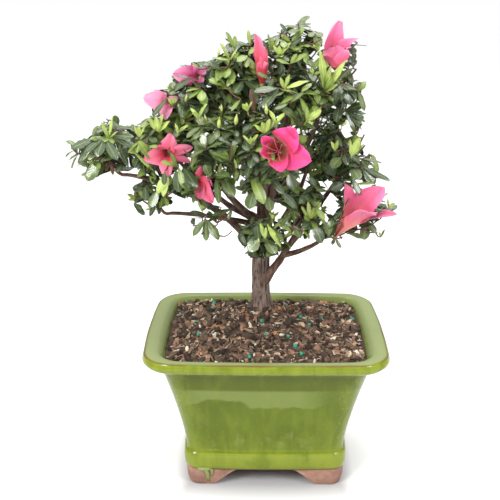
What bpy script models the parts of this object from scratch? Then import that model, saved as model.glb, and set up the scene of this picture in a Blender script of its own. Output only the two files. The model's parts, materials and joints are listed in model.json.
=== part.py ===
"""A young azalea bonsai with pink flowers, standing in a green glazed rectangular pot.

Every sub-part is its own closed object: the bowl of the pot, its four feet, the soil,
the trunk, each bough and each mass of twigs, leaves and flowers. Lengths are in metres,
+Z is up, and the pot stands on z = 0. The front of the plant faces -Y.
"""

import math
import random
from dataclasses import dataclass

import bmesh
import bpy
from mathutils import Vector
from mathutils.bvhtree import BVHTree

MM = 0.001
SEED = 41

# Gaps
GAP = 0.3 * MM
LIMB_CLEARANCE = 0.5 * MM
SPACE_MARGIN = 0.4 * MM
MERGE_DISTANCE = 0.002 * MM
SHARP_EDGE = math.radians(35)
STEEP = 0.8

# Pot
POT_CENTRE = (24.0 * MM, -23.0 * MM)
POT_HEIGHT = 130.0 * MM
RIM_HALF_WIDTH = 101.5 * MM
RIM_HALF_DEPTH = 77.2 * MM
DEPTH_RATIO = RIM_HALF_DEPTH / RIM_HALF_WIDTH
RIM_BAND = 8.5 * MM
RIM_CORNER = 27.0 * MM
RIM_ROUND = 2.0 * MM
RIM_UNDERCUT = 5.0 * MM
BODY_TOP = POT_HEIGHT - RIM_BAND - 4.0 * MM
BODY_TOP_HALF_WIDTH = 88.0 * MM
BODY_TOP_CORNER = 19.0 * MM
BODY_WAIST = 38.0 * MM
BODY_WAIST_HALF_WIDTH = 68.5 * MM
BODY_CORNER = 13.0 * MM
BODY_FLARE = 1.3
BODY_STEPS = 5
BASE_HALF_WIDTH = 70.2 * MM
BASE_BAND_TOP = 33.5 * MM
BASE_ROUND = 2.0 * MM
WALL = 6.5 * MM
INNER_LEVELS = (110.0 * MM, 85.0 * MM, 55.0 * MM)
INNER_DEPTH_EXTRA = 1.5 * MM
FLOOR_TOP = 24.0 * MM
LIP_FLAT = 11.0 * MM
LIP_SLOPE = 7.0 * MM
LIP_CORNER = 22.0 * MM
OPENING_CORNER = 15.0 * MM
SIDE_BOW = 1.6 * MM
CORNER_STEPS = 4

# Feet
FOOT_HEIGHT = 17.5 * MM
FOOT_INSET = 1.5 * MM
FOOT_LEVELS = (0.0, 0.12, 0.4, 0.7, 1.0)
FOOT_THICKNESS = 14.0 * MM
FOOT_WING_X = 48.5 * MM
FOOT_WING_Y = 37.0 * MM
FOOT_COVE = 22.5 * MM
COVE_CURVE = 0.7
FOOT_TUCK = 2.5 * MM

# Soil
SOIL_EDGE_DROP = 4.5 * MM
SOIL_EDGE_SINK = 1.0 * MM
SOIL_EDGE_GAP = 1.5 * MM
SOIL_WALL_GAP = 0.39 * MM
SOIL_MOUND = 1.6
SOIL_SEAT = 137.0 * MM
SEAT_RADIUS = 14.0 * MM
SOIL_RINGS = 4
SOIL_ROUGHNESS = 1.1 * MM

# Trunk
TRUNK_FOOT = Vector((20.5, 4.0, 137.3)) * MM
TRUNK_TOP = Vector((21.5, 8.0, 215.0)) * MM
TRUNK_SWAY = Vector((-2.5, -2.0, 0.0)) * MM
TRUNK_RADIUS = 8.1 * MM
TRUNK_TOP_RADIUS = 7.0 * MM
TRUNK_STEPS = 11
TRUNK_CROWDING = 1.25
TRUNK_SIDES = 12
DOME_HEIGHT = 2.6 * MM
DOME_RADIUS = 4.3 * MM
FLARE_RADIUS = 3.6 * MM
FLARE_HEIGHT = 4.5 * MM
FLARE_LOBES = 4
LOBE_SHARE = 0.45

# Boughs
BOUGH_STEP = 16.0 * MM
BOUGH_KINK = 0.9 * MM
BOUGH_TAPER = 0.8
STOUT_BOUGH = 3.0
STOUT_SIDES = 7
SLIM_SIDES = 5

# Leaves, twigs and flowers
LEAF_LENGTH = 26.0 * MM
LEAF_WIDTH = 13.5 * MM
LEAF_THICKNESS = 1.5 * MM
LEAF_WIDEST = 0.52
LEAF_KEEL = 0.30
LEAF_DROOP = 0.12
LEAF_BLUNT = 0.48
LEAVES_PER_WHORL = 5
LEAF_TRIES = 24
LEAF_SIZES = (0.84, 1.12)
LEAF_SHRINK = 0.02
LEAF_SPREADS = (math.radians(48), math.radians(78))
TIP_LEAF_SPREADS = (math.radians(8), math.radians(30))
LEAF_STEP = 0.12
LEAF_FIRST = 0.05
WHORL_TURN = 1.06
WHORL_LOOSENESS = 0.35
SKYWARD = 0.6
LEAF_LIFTS = (-0.15, 0.25)
TWIG_RADIUS = 1.35 * MM
TWIG_TIP_RADIUS = 1.15 * MM
TWIG_REACHES = (0.50, 0.60)
TWIG_SAG = 0.10
LEAF_REACH = 1.13
STEM_REACH = 0.78
STEM_KNEE = 0.35
STEM_TAPER = 0.85
FORK_STEP = 0.19
STALK_BEND = 1.5 * MM
STALK_SINK = 2.0 * MM
PETAL_THICKNESS = 0.9 * MM
PETALS = 5
NOTCH = 0.30
FUNNEL = ((0.0, 0.07), (0.45, 0.22), (0.88, 0.76), (1.0, 1.0))
TWIG_LOWEST = 1.35
BACKWARD = 0.80
GOLDEN_ANGLE = math.pi * (3.0 - math.sqrt(5.0))


@dataclass(frozen=True)
class Bough:
    """One tapering limb: where it leaves its parent, where it ends, how it bends."""

    name: str
    parent: str
    leaves_at: float
    tip: tuple
    bend: tuple
    base_radius: float
    tip_radius: float


@dataclass(frozen=True)
class Flower:
    """One open bloom: its calyx, the way it faces, its length and width across."""

    calyx: tuple
    facing: tuple
    length: float
    width: float


@dataclass(frozen=True)
class Mass:
    """One mass of foliage: the space it keeps to, the limb it grows from, its twigs."""

    name: str
    carrier: str
    centre: tuple
    radii: tuple
    twigs: int
    flowers: tuple = ()


# Each row: name, parent, share of the parent where it leaves, tip, bend, radii (mm)
BOUGHS = (
    Bough("bough_leader_left", "trunk", 0.97, (7, 6, 326), (3, 10, 0), 4.8, 1.8),
    Bough("bough_leader_right", "trunk", 0.93, (43, 12, 334), (3, 8, -4), 4.6, 1.8),
    Bough("bough_right", "trunk", 0.32, (84, -10, 259), (-8, -2, -12), 4.2, 1.7),
    Bough("bough_right_low", "bough_right", 0.42, (76, -12, 210), (2, 0, -3), 2.6, 1.5),
    Bough("bough_left_long", "trunk", 0.66, (-92, -15, 264), (4, -3, 13), 3.6, 1.6),
    Bough("bough_left_low", "trunk", 0.86, (-58, -3, 227), (4, 6, 1), 3.0, 1.5),
    Bough("bough_left_shoulder", "bough_left_long", 0.60, (-65, -17, 268), (-4, 0, -3), 2.0, 1.4),
    Bough("bough_left_up", "trunk", 0.97, (-36, -5, 302), (-6, -4, -9), 3.6, 1.6),
    Bough("bough_crown_left", "bough_left_up", 0.40, (-16, -33, 273), (2, -3, -3), 2.4, 1.4),
    Bough("bough_crown_front", "bough_leader_left", 0.16, (25, -37, 272), (0, -8, -4), 2.8, 1.5),
    Bough("bough_crown_mid", "bough_leader_right", 0.62, (43, -17, 314), (0, -2, -3), 2.0, 1.4),
    Bough("bough_shoulder_right", "bough_leader_right", 0.40, (68, 0, 313), (5, 0, -7), 2.6, 1.5),
    Bough("bough_inner_right", "bough_right", 0.46, (53, -20, 224), (0, -3, 0), 2.0, 1.4),
    Bough("bough_left_inner", "bough_left_long", 0.38, (-30, -22, 247), (0, -4, 0), 1.9, 1.3),
    Bough("bough_left_hanging", "bough_left_long", 0.34, (-23, -12, 224), (0, -3, 1), 1.8, 1.2),
    Bough("bough_back_left", "trunk", 0.90, (-52, 35, 262), (-2, 4, -6), 3.2, 1.5),
    Bough("bough_back_mid", "bough_leader_left", 0.26, (6, 50, 271), (0, 2, -6), 2.6, 1.5),
    Bough("bough_back_right", "trunk", 0.74, (60, 37, 253), (4, 4, -6), 3.2, 1.5),
    Bough("bough_back_upper", "bough_leader_left", 0.56, (-14, 34, 313), (-2, 2, -4), 2.2, 1.4),
    Bough("bough_back_top", "bough_leader_right", 0.58, (42, 38, 313), (2, 4, -3), 2.2, 1.4),
    Bough("bough_back_low", "trunk", 0.60, (24, 46, 220), (0, 4, -3), 2.8, 1.5),
)

# Each row: name, carrier, centre, half sizes (mm), number of twigs, flowers
MASSES = (
    Mass("foliage_far_left", "bough_left_long", (-109.5, -15, 286), (28, 27, 27), 4),
    Mass("foliage_left_shoulder", "bough_left_shoulder", (-64, -18, 289), (25, 28, 23), 4,
         (Flower((-61, -30, 284), (-0.30, -0.85, 0.30), 22, 28),)),
    Mass("foliage_left_low", "bough_left_low", (-75, -6, 243), (20, 20, 15), 4),
    Mass("foliage_left_upper", "bough_left_up", (-48, -4, 322), (27, 27, 26), 4,
         (Flower((-54, -15, 323), (-0.8, -0.5, 0.28), 18, 20),
          Flower((-44, -10, 333), (-0.1, -0.45, 0.85), 17, 16))),
    Mass("foliage_crown_left", "bough_crown_left", (-14, -47, 295), (25, 25, 26), 4),
    Mass("foliage_crown_front", "bough_crown_front", (28, -57, 294), (26, 26, 24), 4,
         (Flower((35, -68, 295), (0.05, -0.95, 0.25), 22, 42),)),
    Mass("foliage_apex_left", "bough_leader_left", (1, -3, 349), (25, 27, 27), 4,
         (Flower((15.2, -24, 341), (0.0, -0.35, 0.95), 36, 14),)),
    Mass("foliage_apex", "bough_leader_right", (44, 4, 362), (25, 25, 28), 4),
    Mass("foliage_crown_mid", "bough_crown_mid", (45, -40, 329), (24, 22, 20), 4),
    Mass("foliage_shoulder_right", "bough_shoulder_right", (84, -5, 345), (26, 28, 33), 4,
         (Flower((81, -10, 349), (0.05, -0.27, 0.95), 36, 23),)),
    Mass("foliage_right_mid", "bough_right", (100, 0, 285), (29, 28, 25), 4),
    Mass("foliage_right_low", "bough_right_low", (99, -22, 233), (32, 28, 24), 4,
         (Flower((81, -29, 214), (0.67, -0.28, 0.70), 51, 42),)),
    Mass("foliage_inner_right", "bough_inner_right", (55, -32, 243), (21, 20, 26), 4),
    Mass("foliage_left_inner", "bough_left_inner", (-35, -32, 261), (22, 21, 18), 4,
         (Flower((-26, -38, 263), (0.15, -0.6, -0.75), 20, 16),)),
    Mass("foliage_left_hanging", "bough_left_hanging", (-27, -18, 217), (17, 17, 14), 3),
    Mass("foliage_trunk_spray", "trunk", (21, -24, 209), (22, 19, 18), 4),
    Mass("foliage_back_left", "bough_back_left", (-71, 45, 282), (33, 31, 30), 4),
    Mass("foliage_back_mid", "bough_back_mid", (3, 68, 291), (33, 32, 30), 4),
    Mass("foliage_back_right", "bough_back_right", (77, 45, 275), (32, 31, 30), 4),
    Mass("foliage_back_upper", "bough_back_upper", (-23, 45, 333), (30, 28, 26), 4),
    Mass("foliage_back_top", "bough_back_top", (43, 49, 334), (28, 28, 27), 4),
    Mass("foliage_back_low", "bough_back_low", (24, 68, 235), (27, 25, 21), 4),
)

# Where the spray on the trunk leaves it, as a share of the trunk's height
TRUNK_SPRAY_AT = 0.74
SPRAY_RISE = 0.35
SPRAY_START = TRUNK_RADIUS + 0.55 * MM

# Seeds tried for a mass until its pieces join into one closed body
SEED_TRIES = 8


def clear_scene():
    """Remove whatever objects the scene holds."""
    for item in list(bpy.data.objects):
        bpy.data.objects.remove(item, do_unlink=True)


def material(name, colour, roughness, metallic=0.0):
    """Return a Principled material with one plain colour."""
    made = bpy.data.materials.new(name)
    made.use_nodes = True
    shader = made.node_tree.nodes["Principled BSDF"]
    shader.inputs["Base Color"].default_value = (*colour, 1.0)
    shader.inputs["Roughness"].default_value = roughness
    shader.inputs["Metallic"].default_value = metallic
    return made


def mesh_object(name, body, finish=None, smooth=False):
    """Turn a bmesh into an object in the scene, and free the bmesh."""
    bmesh.ops.recalc_face_normals(body, faces=body.faces)
    mesh = bpy.data.meshes.new(name)
    body.to_mesh(mesh)
    body.free()
    if finish is not None:
        mesh.materials.append(finish)
    if smooth:
        mesh.shade_smooth()
        mesh.set_sharp_from_angle(angle=SHARP_EDGE)
    made = bpy.data.objects.new(name, mesh)
    bpy.context.scene.collection.objects.link(made)
    return made


def loft(rings):
    """Bridge equal rings of points into one closed bmesh with flat end caps."""
    body = bmesh.new()
    rows = [[body.verts.new(point) for point in ring] for ring in rings]
    for lower, upper in zip(rows, rows[1:]):
        count = len(lower)
        for i in range(count):
            j = (i + 1) % count
            body.faces.new((lower[i], lower[j], upper[j], upper[i]))
    body.faces.new(list(reversed(rows[0])))
    body.faces.new(rows[-1])
    return body


def is_closed(mesh):
    """Tell whether every edge of a mesh lies between exactly two faces."""
    uses = {}
    for polygon in mesh.polygons:
        for key in polygon.edge_keys:
            uses[key] = uses.get(key, 0) + 1
    return bool(uses) and all(count == 2 for count in uses.values())


def apply_boolean(target, operation, operand=None, group=None, solver="EXACT"):
    """Run one Boolean on the target and keep its result as plain mesh data."""
    modifier = target.modifiers.new("Join", "BOOLEAN")
    modifier.operation = operation
    modifier.solver = solver
    if group is not None:
        modifier.operand_type = "COLLECTION"
        modifier.collection = group
    else:
        modifier.object = operand
    graph = bpy.context.evaluated_depsgraph_get()
    result = bpy.data.meshes.new_from_object(target.evaluated_get(graph))
    target.modifiers.clear()
    target.data = result


def keep_largest_shell(target):
    """Drop loose scraps and sealed hollows, which are shells apart from the main one."""
    body = bmesh.new()
    body.from_mesh(target.data)
    bmesh.ops.remove_doubles(body, verts=body.verts, dist=MERGE_DISTANCE)
    bmesh.ops.dissolve_degenerate(body, dist=MERGE_DISTANCE, edges=body.edges)
    bmesh.ops.triangulate(body, faces=body.faces)
    left = set(body.faces)
    shells = []
    while left:
        shell = set()
        front = [left.pop()]
        while front:
            face = front.pop()
            shell.add(face)
            for edge in face.edges:
                for other in edge.link_faces:
                    if other in left:
                        left.discard(other)
                        front.append(other)
        shells.append(shell)
    shells.sort(key=len, reverse=True)
    scraps = [face for shell in shells[1:] for face in shell]
    bmesh.ops.delete(body, geom=scraps, context="FACES")
    body.to_mesh(target.data)
    body.free()
    target.data.update()


def rounded_ring(half_width, half_depth, corner, height):
    """Return a level ring round the pot: a rectangle with round corners and bowed sides."""
    points = []
    centre_x, centre_y = POT_CENTRE
    signs = ((1, -1), (1, 1), (-1, 1), (-1, -1))
    for quarter, (sx, sy) in enumerate(signs):
        for step in range(CORNER_STEPS + 1):
            angle = math.radians(-90 + 90 * quarter + 90 * step / CORNER_STEPS)
            x = sx * (half_width - corner) + corner * math.cos(angle)
            y = sy * (half_depth - corner) + corner * math.sin(angle)
            points.append((x, y))
        if quarter % 2 == 0:
            points.append((sx * (half_width + SIDE_BOW), 0.0))
        else:
            points.append((0.0, sy * (half_depth + SIDE_BOW)))
    return [Vector((centre_x + x, centre_y + y, height)) for x, y in points]


def body_half_width(height):
    """Return the bowl's outer half width: a concave flare from its waist to the lip."""
    share = max(0.0, (height - BODY_WAIST) / (BODY_TOP - BODY_WAIST))
    return BODY_WAIST_HALF_WIDTH + (BODY_TOP_HALF_WIDTH - BODY_WAIST_HALF_WIDTH) * share ** BODY_FLARE


def bowl_inner_ring(height, gap=0.0):
    """Return the bowl's inner ring at one height, drawn in by a gap."""
    half = body_half_width(height) - WALL - gap
    corner = BODY_CORNER - WALL - gap
    return rounded_ring(half, half * DEPTH_RATIO + INNER_DEPTH_EXTRA, corner, height)


def opening_ring(height, gap=0.0):
    """Return the ring where the lip has sloped down to the soil, drawn in by a gap."""
    half = RIM_HALF_WIDTH - LIP_FLAT - LIP_SLOPE - gap
    return rounded_ring(half, half * DEPTH_RATIO + INNER_DEPTH_EXTRA, OPENING_CORNER - gap, height)


def make_bowl(glaze):
    """Make the pot's bowl: a glazed rectangular vessel with a wide lip and a base band."""
    rings = []

    def outer(half, height, corner, tuck=0.0):
        depth = half * DEPTH_RATIO
        rings.append(rounded_ring(half - tuck, depth - tuck, corner - tuck, height))

    outer(BASE_HALF_WIDTH, FOOT_HEIGHT, BODY_CORNER, tuck=BASE_ROUND)
    outer(BASE_HALF_WIDTH, FOOT_HEIGHT + BASE_ROUND, BODY_CORNER)
    outer(BASE_HALF_WIDTH, BASE_BAND_TOP - BASE_ROUND, BODY_CORNER)
    outer(BODY_WAIST_HALF_WIDTH, BASE_BAND_TOP, BODY_CORNER)
    for step in range(1, BODY_STEPS + 1):
        share = step / BODY_STEPS
        height = BASE_BAND_TOP + (BODY_TOP - BASE_BAND_TOP) * share
        outer(body_half_width(height), height, BODY_CORNER + (BODY_TOP_CORNER - BODY_CORNER) * share)
    band_bottom = POT_HEIGHT - RIM_BAND
    outer(RIM_HALF_WIDTH, band_bottom - RIM_ROUND / 2, RIM_CORNER, tuck=RIM_UNDERCUT)
    outer(RIM_HALF_WIDTH, band_bottom + RIM_ROUND / 2, RIM_CORNER)
    outer(RIM_HALF_WIDTH, POT_HEIGHT - RIM_ROUND, RIM_CORNER)
    outer(RIM_HALF_WIDTH, POT_HEIGHT, RIM_CORNER, tuck=RIM_ROUND)
    lip_edge = RIM_HALF_WIDTH - LIP_FLAT
    rings.append(rounded_ring(lip_edge, lip_edge * DEPTH_RATIO + INNER_DEPTH_EXTRA, LIP_CORNER, POT_HEIGHT))
    rings.append(opening_ring(POT_HEIGHT - SOIL_EDGE_DROP))
    for height in INNER_LEVELS + (FLOOR_TOP,):
        rings.append(bowl_inner_ring(height))
    mesh_object("pot_bowl", loft(rings), glaze, smooth=True)


def foot_outline(share, sx, sy):
    """Return one level of an L-shaped corner foot, at a share of its height from the top."""
    cove = FOOT_COVE * share ** COVE_CURVE
    tuck = FOOT_TUCK * share ** 3
    base_depth = BASE_HALF_WIDTH * DEPTH_RATIO
    half_w = BASE_HALF_WIDTH - FOOT_INSET - tuck
    half_d = base_depth - FOOT_INSET - tuck
    inner_w = BASE_HALF_WIDTH - FOOT_INSET - FOOT_THICKNESS
    inner_d = base_depth - FOOT_INSET - FOOT_THICKNESS
    corner = BODY_CORNER - FOOT_INSET - tuck
    end_x = BASE_HALF_WIDTH - FOOT_WING_X + cove
    end_y = base_depth - FOOT_WING_Y + cove * FOOT_WING_Y / FOOT_WING_X
    outline = [(end_x, half_d)]
    for step in range(CORNER_STEPS + 1):
        angle = math.radians(90 - 90 * step / CORNER_STEPS)
        x = half_w - corner + corner * math.cos(angle)
        y = half_d - corner + corner * math.sin(angle)
        outline.append((x, y))
    outline += [(half_w, end_y), (inner_w, end_y), (inner_w, inner_d), (end_x, inner_d)]
    height = (FOOT_HEIGHT - GAP) * (1.0 - share)
    return [Vector((POT_CENTRE[0] + sx * x, POT_CENTRE[1] + sy * y, height)) for x, y in outline]


def make_feet(clay):
    """Make the four unglazed feet under the bowl's corners."""
    places = {"front_left": (-1, -1), "front_right": (1, -1), "back_left": (-1, 1), "back_right": (1, 1)}
    for name, (sx, sy) in places.items():
        rings = [foot_outline(share, sx, sy) for share in FOOT_LEVELS]
        mesh_object("pot_foot_" + name, loft(rings), clay)


def make_soil(earth):
    """Make the soil: it fills the bowl and rises in a low mound to the trunk's foot."""
    rng = random.Random(SEED)
    edge_height = POT_HEIGHT - SOIL_EDGE_DROP - SOIL_EDGE_SINK
    rings = [bowl_inner_ring(FLOOR_TOP + GAP, SOIL_WALL_GAP)]
    rings += [bowl_inner_ring(height, SOIL_WALL_GAP) for height in reversed(INNER_LEVELS)]
    edge = opening_ring(edge_height, SOIL_EDGE_GAP)
    rings.append(edge)
    seat = []
    for point in edge:
        ray = (point - TRUNK_FOOT).to_2d().normalized() * SEAT_RADIUS
        seat.append(Vector((TRUNK_FOOT.x + ray.x, TRUNK_FOOT.y + ray.y, SOIL_SEAT)))
    for step in range(1, SOIL_RINGS):
        share = step / SOIL_RINGS
        ring = []
        for outer, inner in zip(edge, seat):
            point = outer.lerp(inner, share)
            point.z = edge_height + (SOIL_SEAT - edge_height) * share ** SOIL_MOUND
            point.z += rng.uniform(-SOIL_ROUGHNESS, SOIL_ROUGHNESS)
            ring.append(point)
        rings.append(ring)
    rings.append(seat)
    mesh_object("soil", loft(rings), earth)


def frames_along(points):
    """Return a tangent, a normal and a side at each point, turned as little as possible."""
    frames = []
    normal = None
    for i, _ in enumerate(points):
        tangent = (points[min(i + 1, len(points) - 1)] - points[max(i - 1, 0)]).normalized()
        if normal is None:
            seed = Vector((1, 0, 0)) if abs(tangent.x) < STEEP else Vector((0, 1, 0))
            normal = tangent.cross(seed).normalized()
        else:
            normal = (normal - tangent * normal.dot(tangent)).normalized()
        frames.append((tangent, normal, tangent.cross(normal)))
    return frames


def tube(points, radii, sides, lobe=None):
    """Return a closed bmesh tube with flat ends; one with lobes also has a level foot."""
    rings = []
    for i, (point, (_, normal, side)) in enumerate(zip(points, frames_along(points))):
        ring = []
        for k in range(sides):
            angle = 2 * math.pi * k / sides
            reach = radii[i] if lobe is None else radii[i] + lobe(i, angle)
            ring.append(point + (normal * math.cos(angle) + side * math.sin(angle)) * reach)
            if i == 0 and lobe is not None:
                ring[-1].z = point.z
        rings.append(ring)
    return loft(rings)


def bezier(start, control, end, share):
    """Return the point at a share of a quadratic curve."""
    rest = 1.0 - share
    return start * rest * rest + control * (2 * rest * share) + end * share * share


class Limb:
    """A trunk or bough as a curve with a radius at each point."""

    def __init__(self, points, radii, sides, lobe=None):
        self.points = points
        self.radii = radii
        self.sides = sides
        self.lobe = lobe

    def at(self, share):
        """Return the point at a share of the limb's length."""
        place = share * (len(self.points) - 1)
        index = min(int(place), len(self.points) - 2)
        return self.points[index].lerp(self.points[index + 1], place - index)

    def body(self, inflate=0.0):
        """Return the limb's closed tube, its radius grown by inflate."""
        return tube(self.points, [radius + inflate for radius in self.radii], self.sides, self.lobe)

    def tip_direction(self):
        """Return the direction in which the limb ends."""
        return (self.points[-1] - self.points[-2]).normalized()


def trunk_flare(point):
    """Return how far the root flare stands out at a point of the trunk."""
    return FLARE_RADIUS * math.exp(-(point.z - TRUNK_FOOT.z) / FLARE_HEIGHT)


def trunk_limb():
    """Return the trunk: a flat foot, a root flare, a slight sway, and a dome at the fork."""
    points = []
    radii = []
    control = (TRUNK_FOOT + TRUNK_TOP) / 2 + TRUNK_SWAY
    for step in range(TRUNK_STEPS):
        share = (step / (TRUNK_STEPS - 1)) ** TRUNK_CROWDING
        points.append(bezier(TRUNK_FOOT, control, TRUNK_TOP, share))
        taper = TRUNK_RADIUS + (TRUNK_TOP_RADIUS - TRUNK_RADIUS) * share
        radii.append(taper + trunk_flare(points[-1]))
    points.append(TRUNK_TOP + Vector((0.0, 0.0, DOME_HEIGHT)))
    radii.append(DOME_RADIUS)

    def lobe(index, angle):
        return trunk_flare(points[index]) * LOBE_SHARE * math.cos(FLARE_LOBES * angle)

    return Limb(points, radii, TRUNK_SIDES, lobe)


def bough_limb(bough, parent, rng):
    """Return a bough as a bent, slightly kinked curve from inside its parent to its tip."""
    start = parent.at(bough.leaves_at)
    end = Vector(bough.tip) * MM
    control = (start + end) / 2 + Vector(bough.bend) * 2 * MM
    steps = max(4, round((end - start).length / BOUGH_STEP))
    points = []
    radii = []
    for step in range(steps + 1):
        share = step / steps
        point = bezier(start, control, end, share)
        if 0 < step < steps - 1:
            point += Vector([rng.uniform(-BOUGH_KINK, BOUGH_KINK) for _ in range(3)])
        points.append(point)
        taper = (bough.tip_radius - bough.base_radius) * share ** BOUGH_TAPER
        radii.append((bough.base_radius + taper) * MM)
    return Limb(points, radii, SLIM_SIDES if bough.base_radius < STOUT_BOUGH else STOUT_SIDES)


def axes_across(axis):
    """Return two directions square to an axis and to each other."""
    seed = Vector((0, 0, 1)) if abs(axis.z) < STEEP else Vector((1, 0, 0))
    across = axis.cross(seed).normalized()
    return across, across.cross(axis)


def surface_tree(body):
    """Return a search tree of a bmesh's faces, and free the bmesh."""
    tree = BVHTree.FromBMesh(body)
    body.free()
    return tree


def make_limbs(bark):
    """Make the trunk and the boughs; each bough is cut clear of every limb it starts in."""
    rng = random.Random(SEED)
    trunk = trunk_limb()
    limbs = {"trunk": trunk}
    mesh_object("trunk", trunk.body(), bark, smooth=True)
    for bough in BOUGHS:
        limb = bough_limb(bough, limbs[bough.parent], rng)
        made = mesh_object(bough.name, limb.body(), bark, smooth=True)
        own = surface_tree(limb.body())
        for earlier in limbs.values():
            if own.overlap(surface_tree(earlier.body(GAP))):
                cutter = mesh_object("cutter", earlier.body(GAP))
                cutter.hide_render = True
                cutter.display_type = "WIRE"
                apply_boolean(made, "DIFFERENCE", operand=cutter)
                bpy.data.objects.remove(cutter, do_unlink=True)
        keep_largest_shell(made)
        limbs[bough.name] = limb
    return limbs


def cell_planes(mass):
    """Return the planes between a mass and each other one, as a normal and an offset."""
    planes = []
    centre = Vector(mass.centre) * MM
    weight = (sum(mass.radii) / 3 * MM) ** 2
    for other in MASSES:
        if other.name == mass.name:
            continue
        other_centre = Vector(other.centre) * MM
        other_weight = (sum(other.radii) / 3 * MM) ** 2
        way = other_centre - centre
        offset = (other_centre.length_squared - centre.length_squared + weight - other_weight)
        planes.append((way.normalized(), offset / (2 * way.length) - SPACE_MARGIN))
    return planes


def leaf_body(root, direction, normal, length, width):
    """Return a blade of eight faces: a pointed root, widest past its middle, a blunt tip."""
    side = direction.cross(normal).normalized()
    half = side * width / 2
    middle = root + direction * length * LEAF_WIDEST
    end = root + direction * length - normal * length * LEAF_DROOP
    outline = (root, middle + half, end + half * LEAF_BLUNT, end - half * LEAF_BLUNT, middle - half)
    body = bmesh.new()
    rim = [body.verts.new(point) for point in outline]
    keel = body.verts.new(root + direction * length * LEAF_KEEL - normal * LEAF_THICKNESS)
    for a, b in zip(rim, rim[1:] + rim[:1]):
        body.faces.new((a, b, keel))
    body.faces.new((rim[0], rim[4], rim[1]))
    body.faces.new((rim[1], rim[4], rim[3], rim[2]))
    bmesh.ops.triangulate(body, faces=body.faces)
    return body


def flower_body(flower):
    """Return a funnel-shaped bloom: a slim tube opening into five lobes, as one shell."""
    calyx = Vector(flower.calyx) * MM
    axis = Vector(flower.facing).normalized()
    across, up = axes_across(axis)
    length = flower.length * MM
    half = flower.width * MM / 2
    rings = []

    def ring(along, reach, inset):
        points = []
        for k in range(2 * PETALS):
            angle = math.pi * k / PETALS
            lobe = 1.0 if k % 2 == 0 else 1.0 - NOTCH * reach * reach
            radius = reach * half * lobe - inset
            points.append(calyx + axis * along + (across * math.cos(angle) + up * math.sin(angle)) * radius)
        return points

    for along, reach in FUNNEL:
        rings.append(ring(along * length, reach, 0.0))
    for along, reach in reversed(FUNNEL[1:3]):
        rings.append(ring(along * length + PETAL_THICKNESS, reach, PETAL_THICKNESS))
    return loft(rings)


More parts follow.
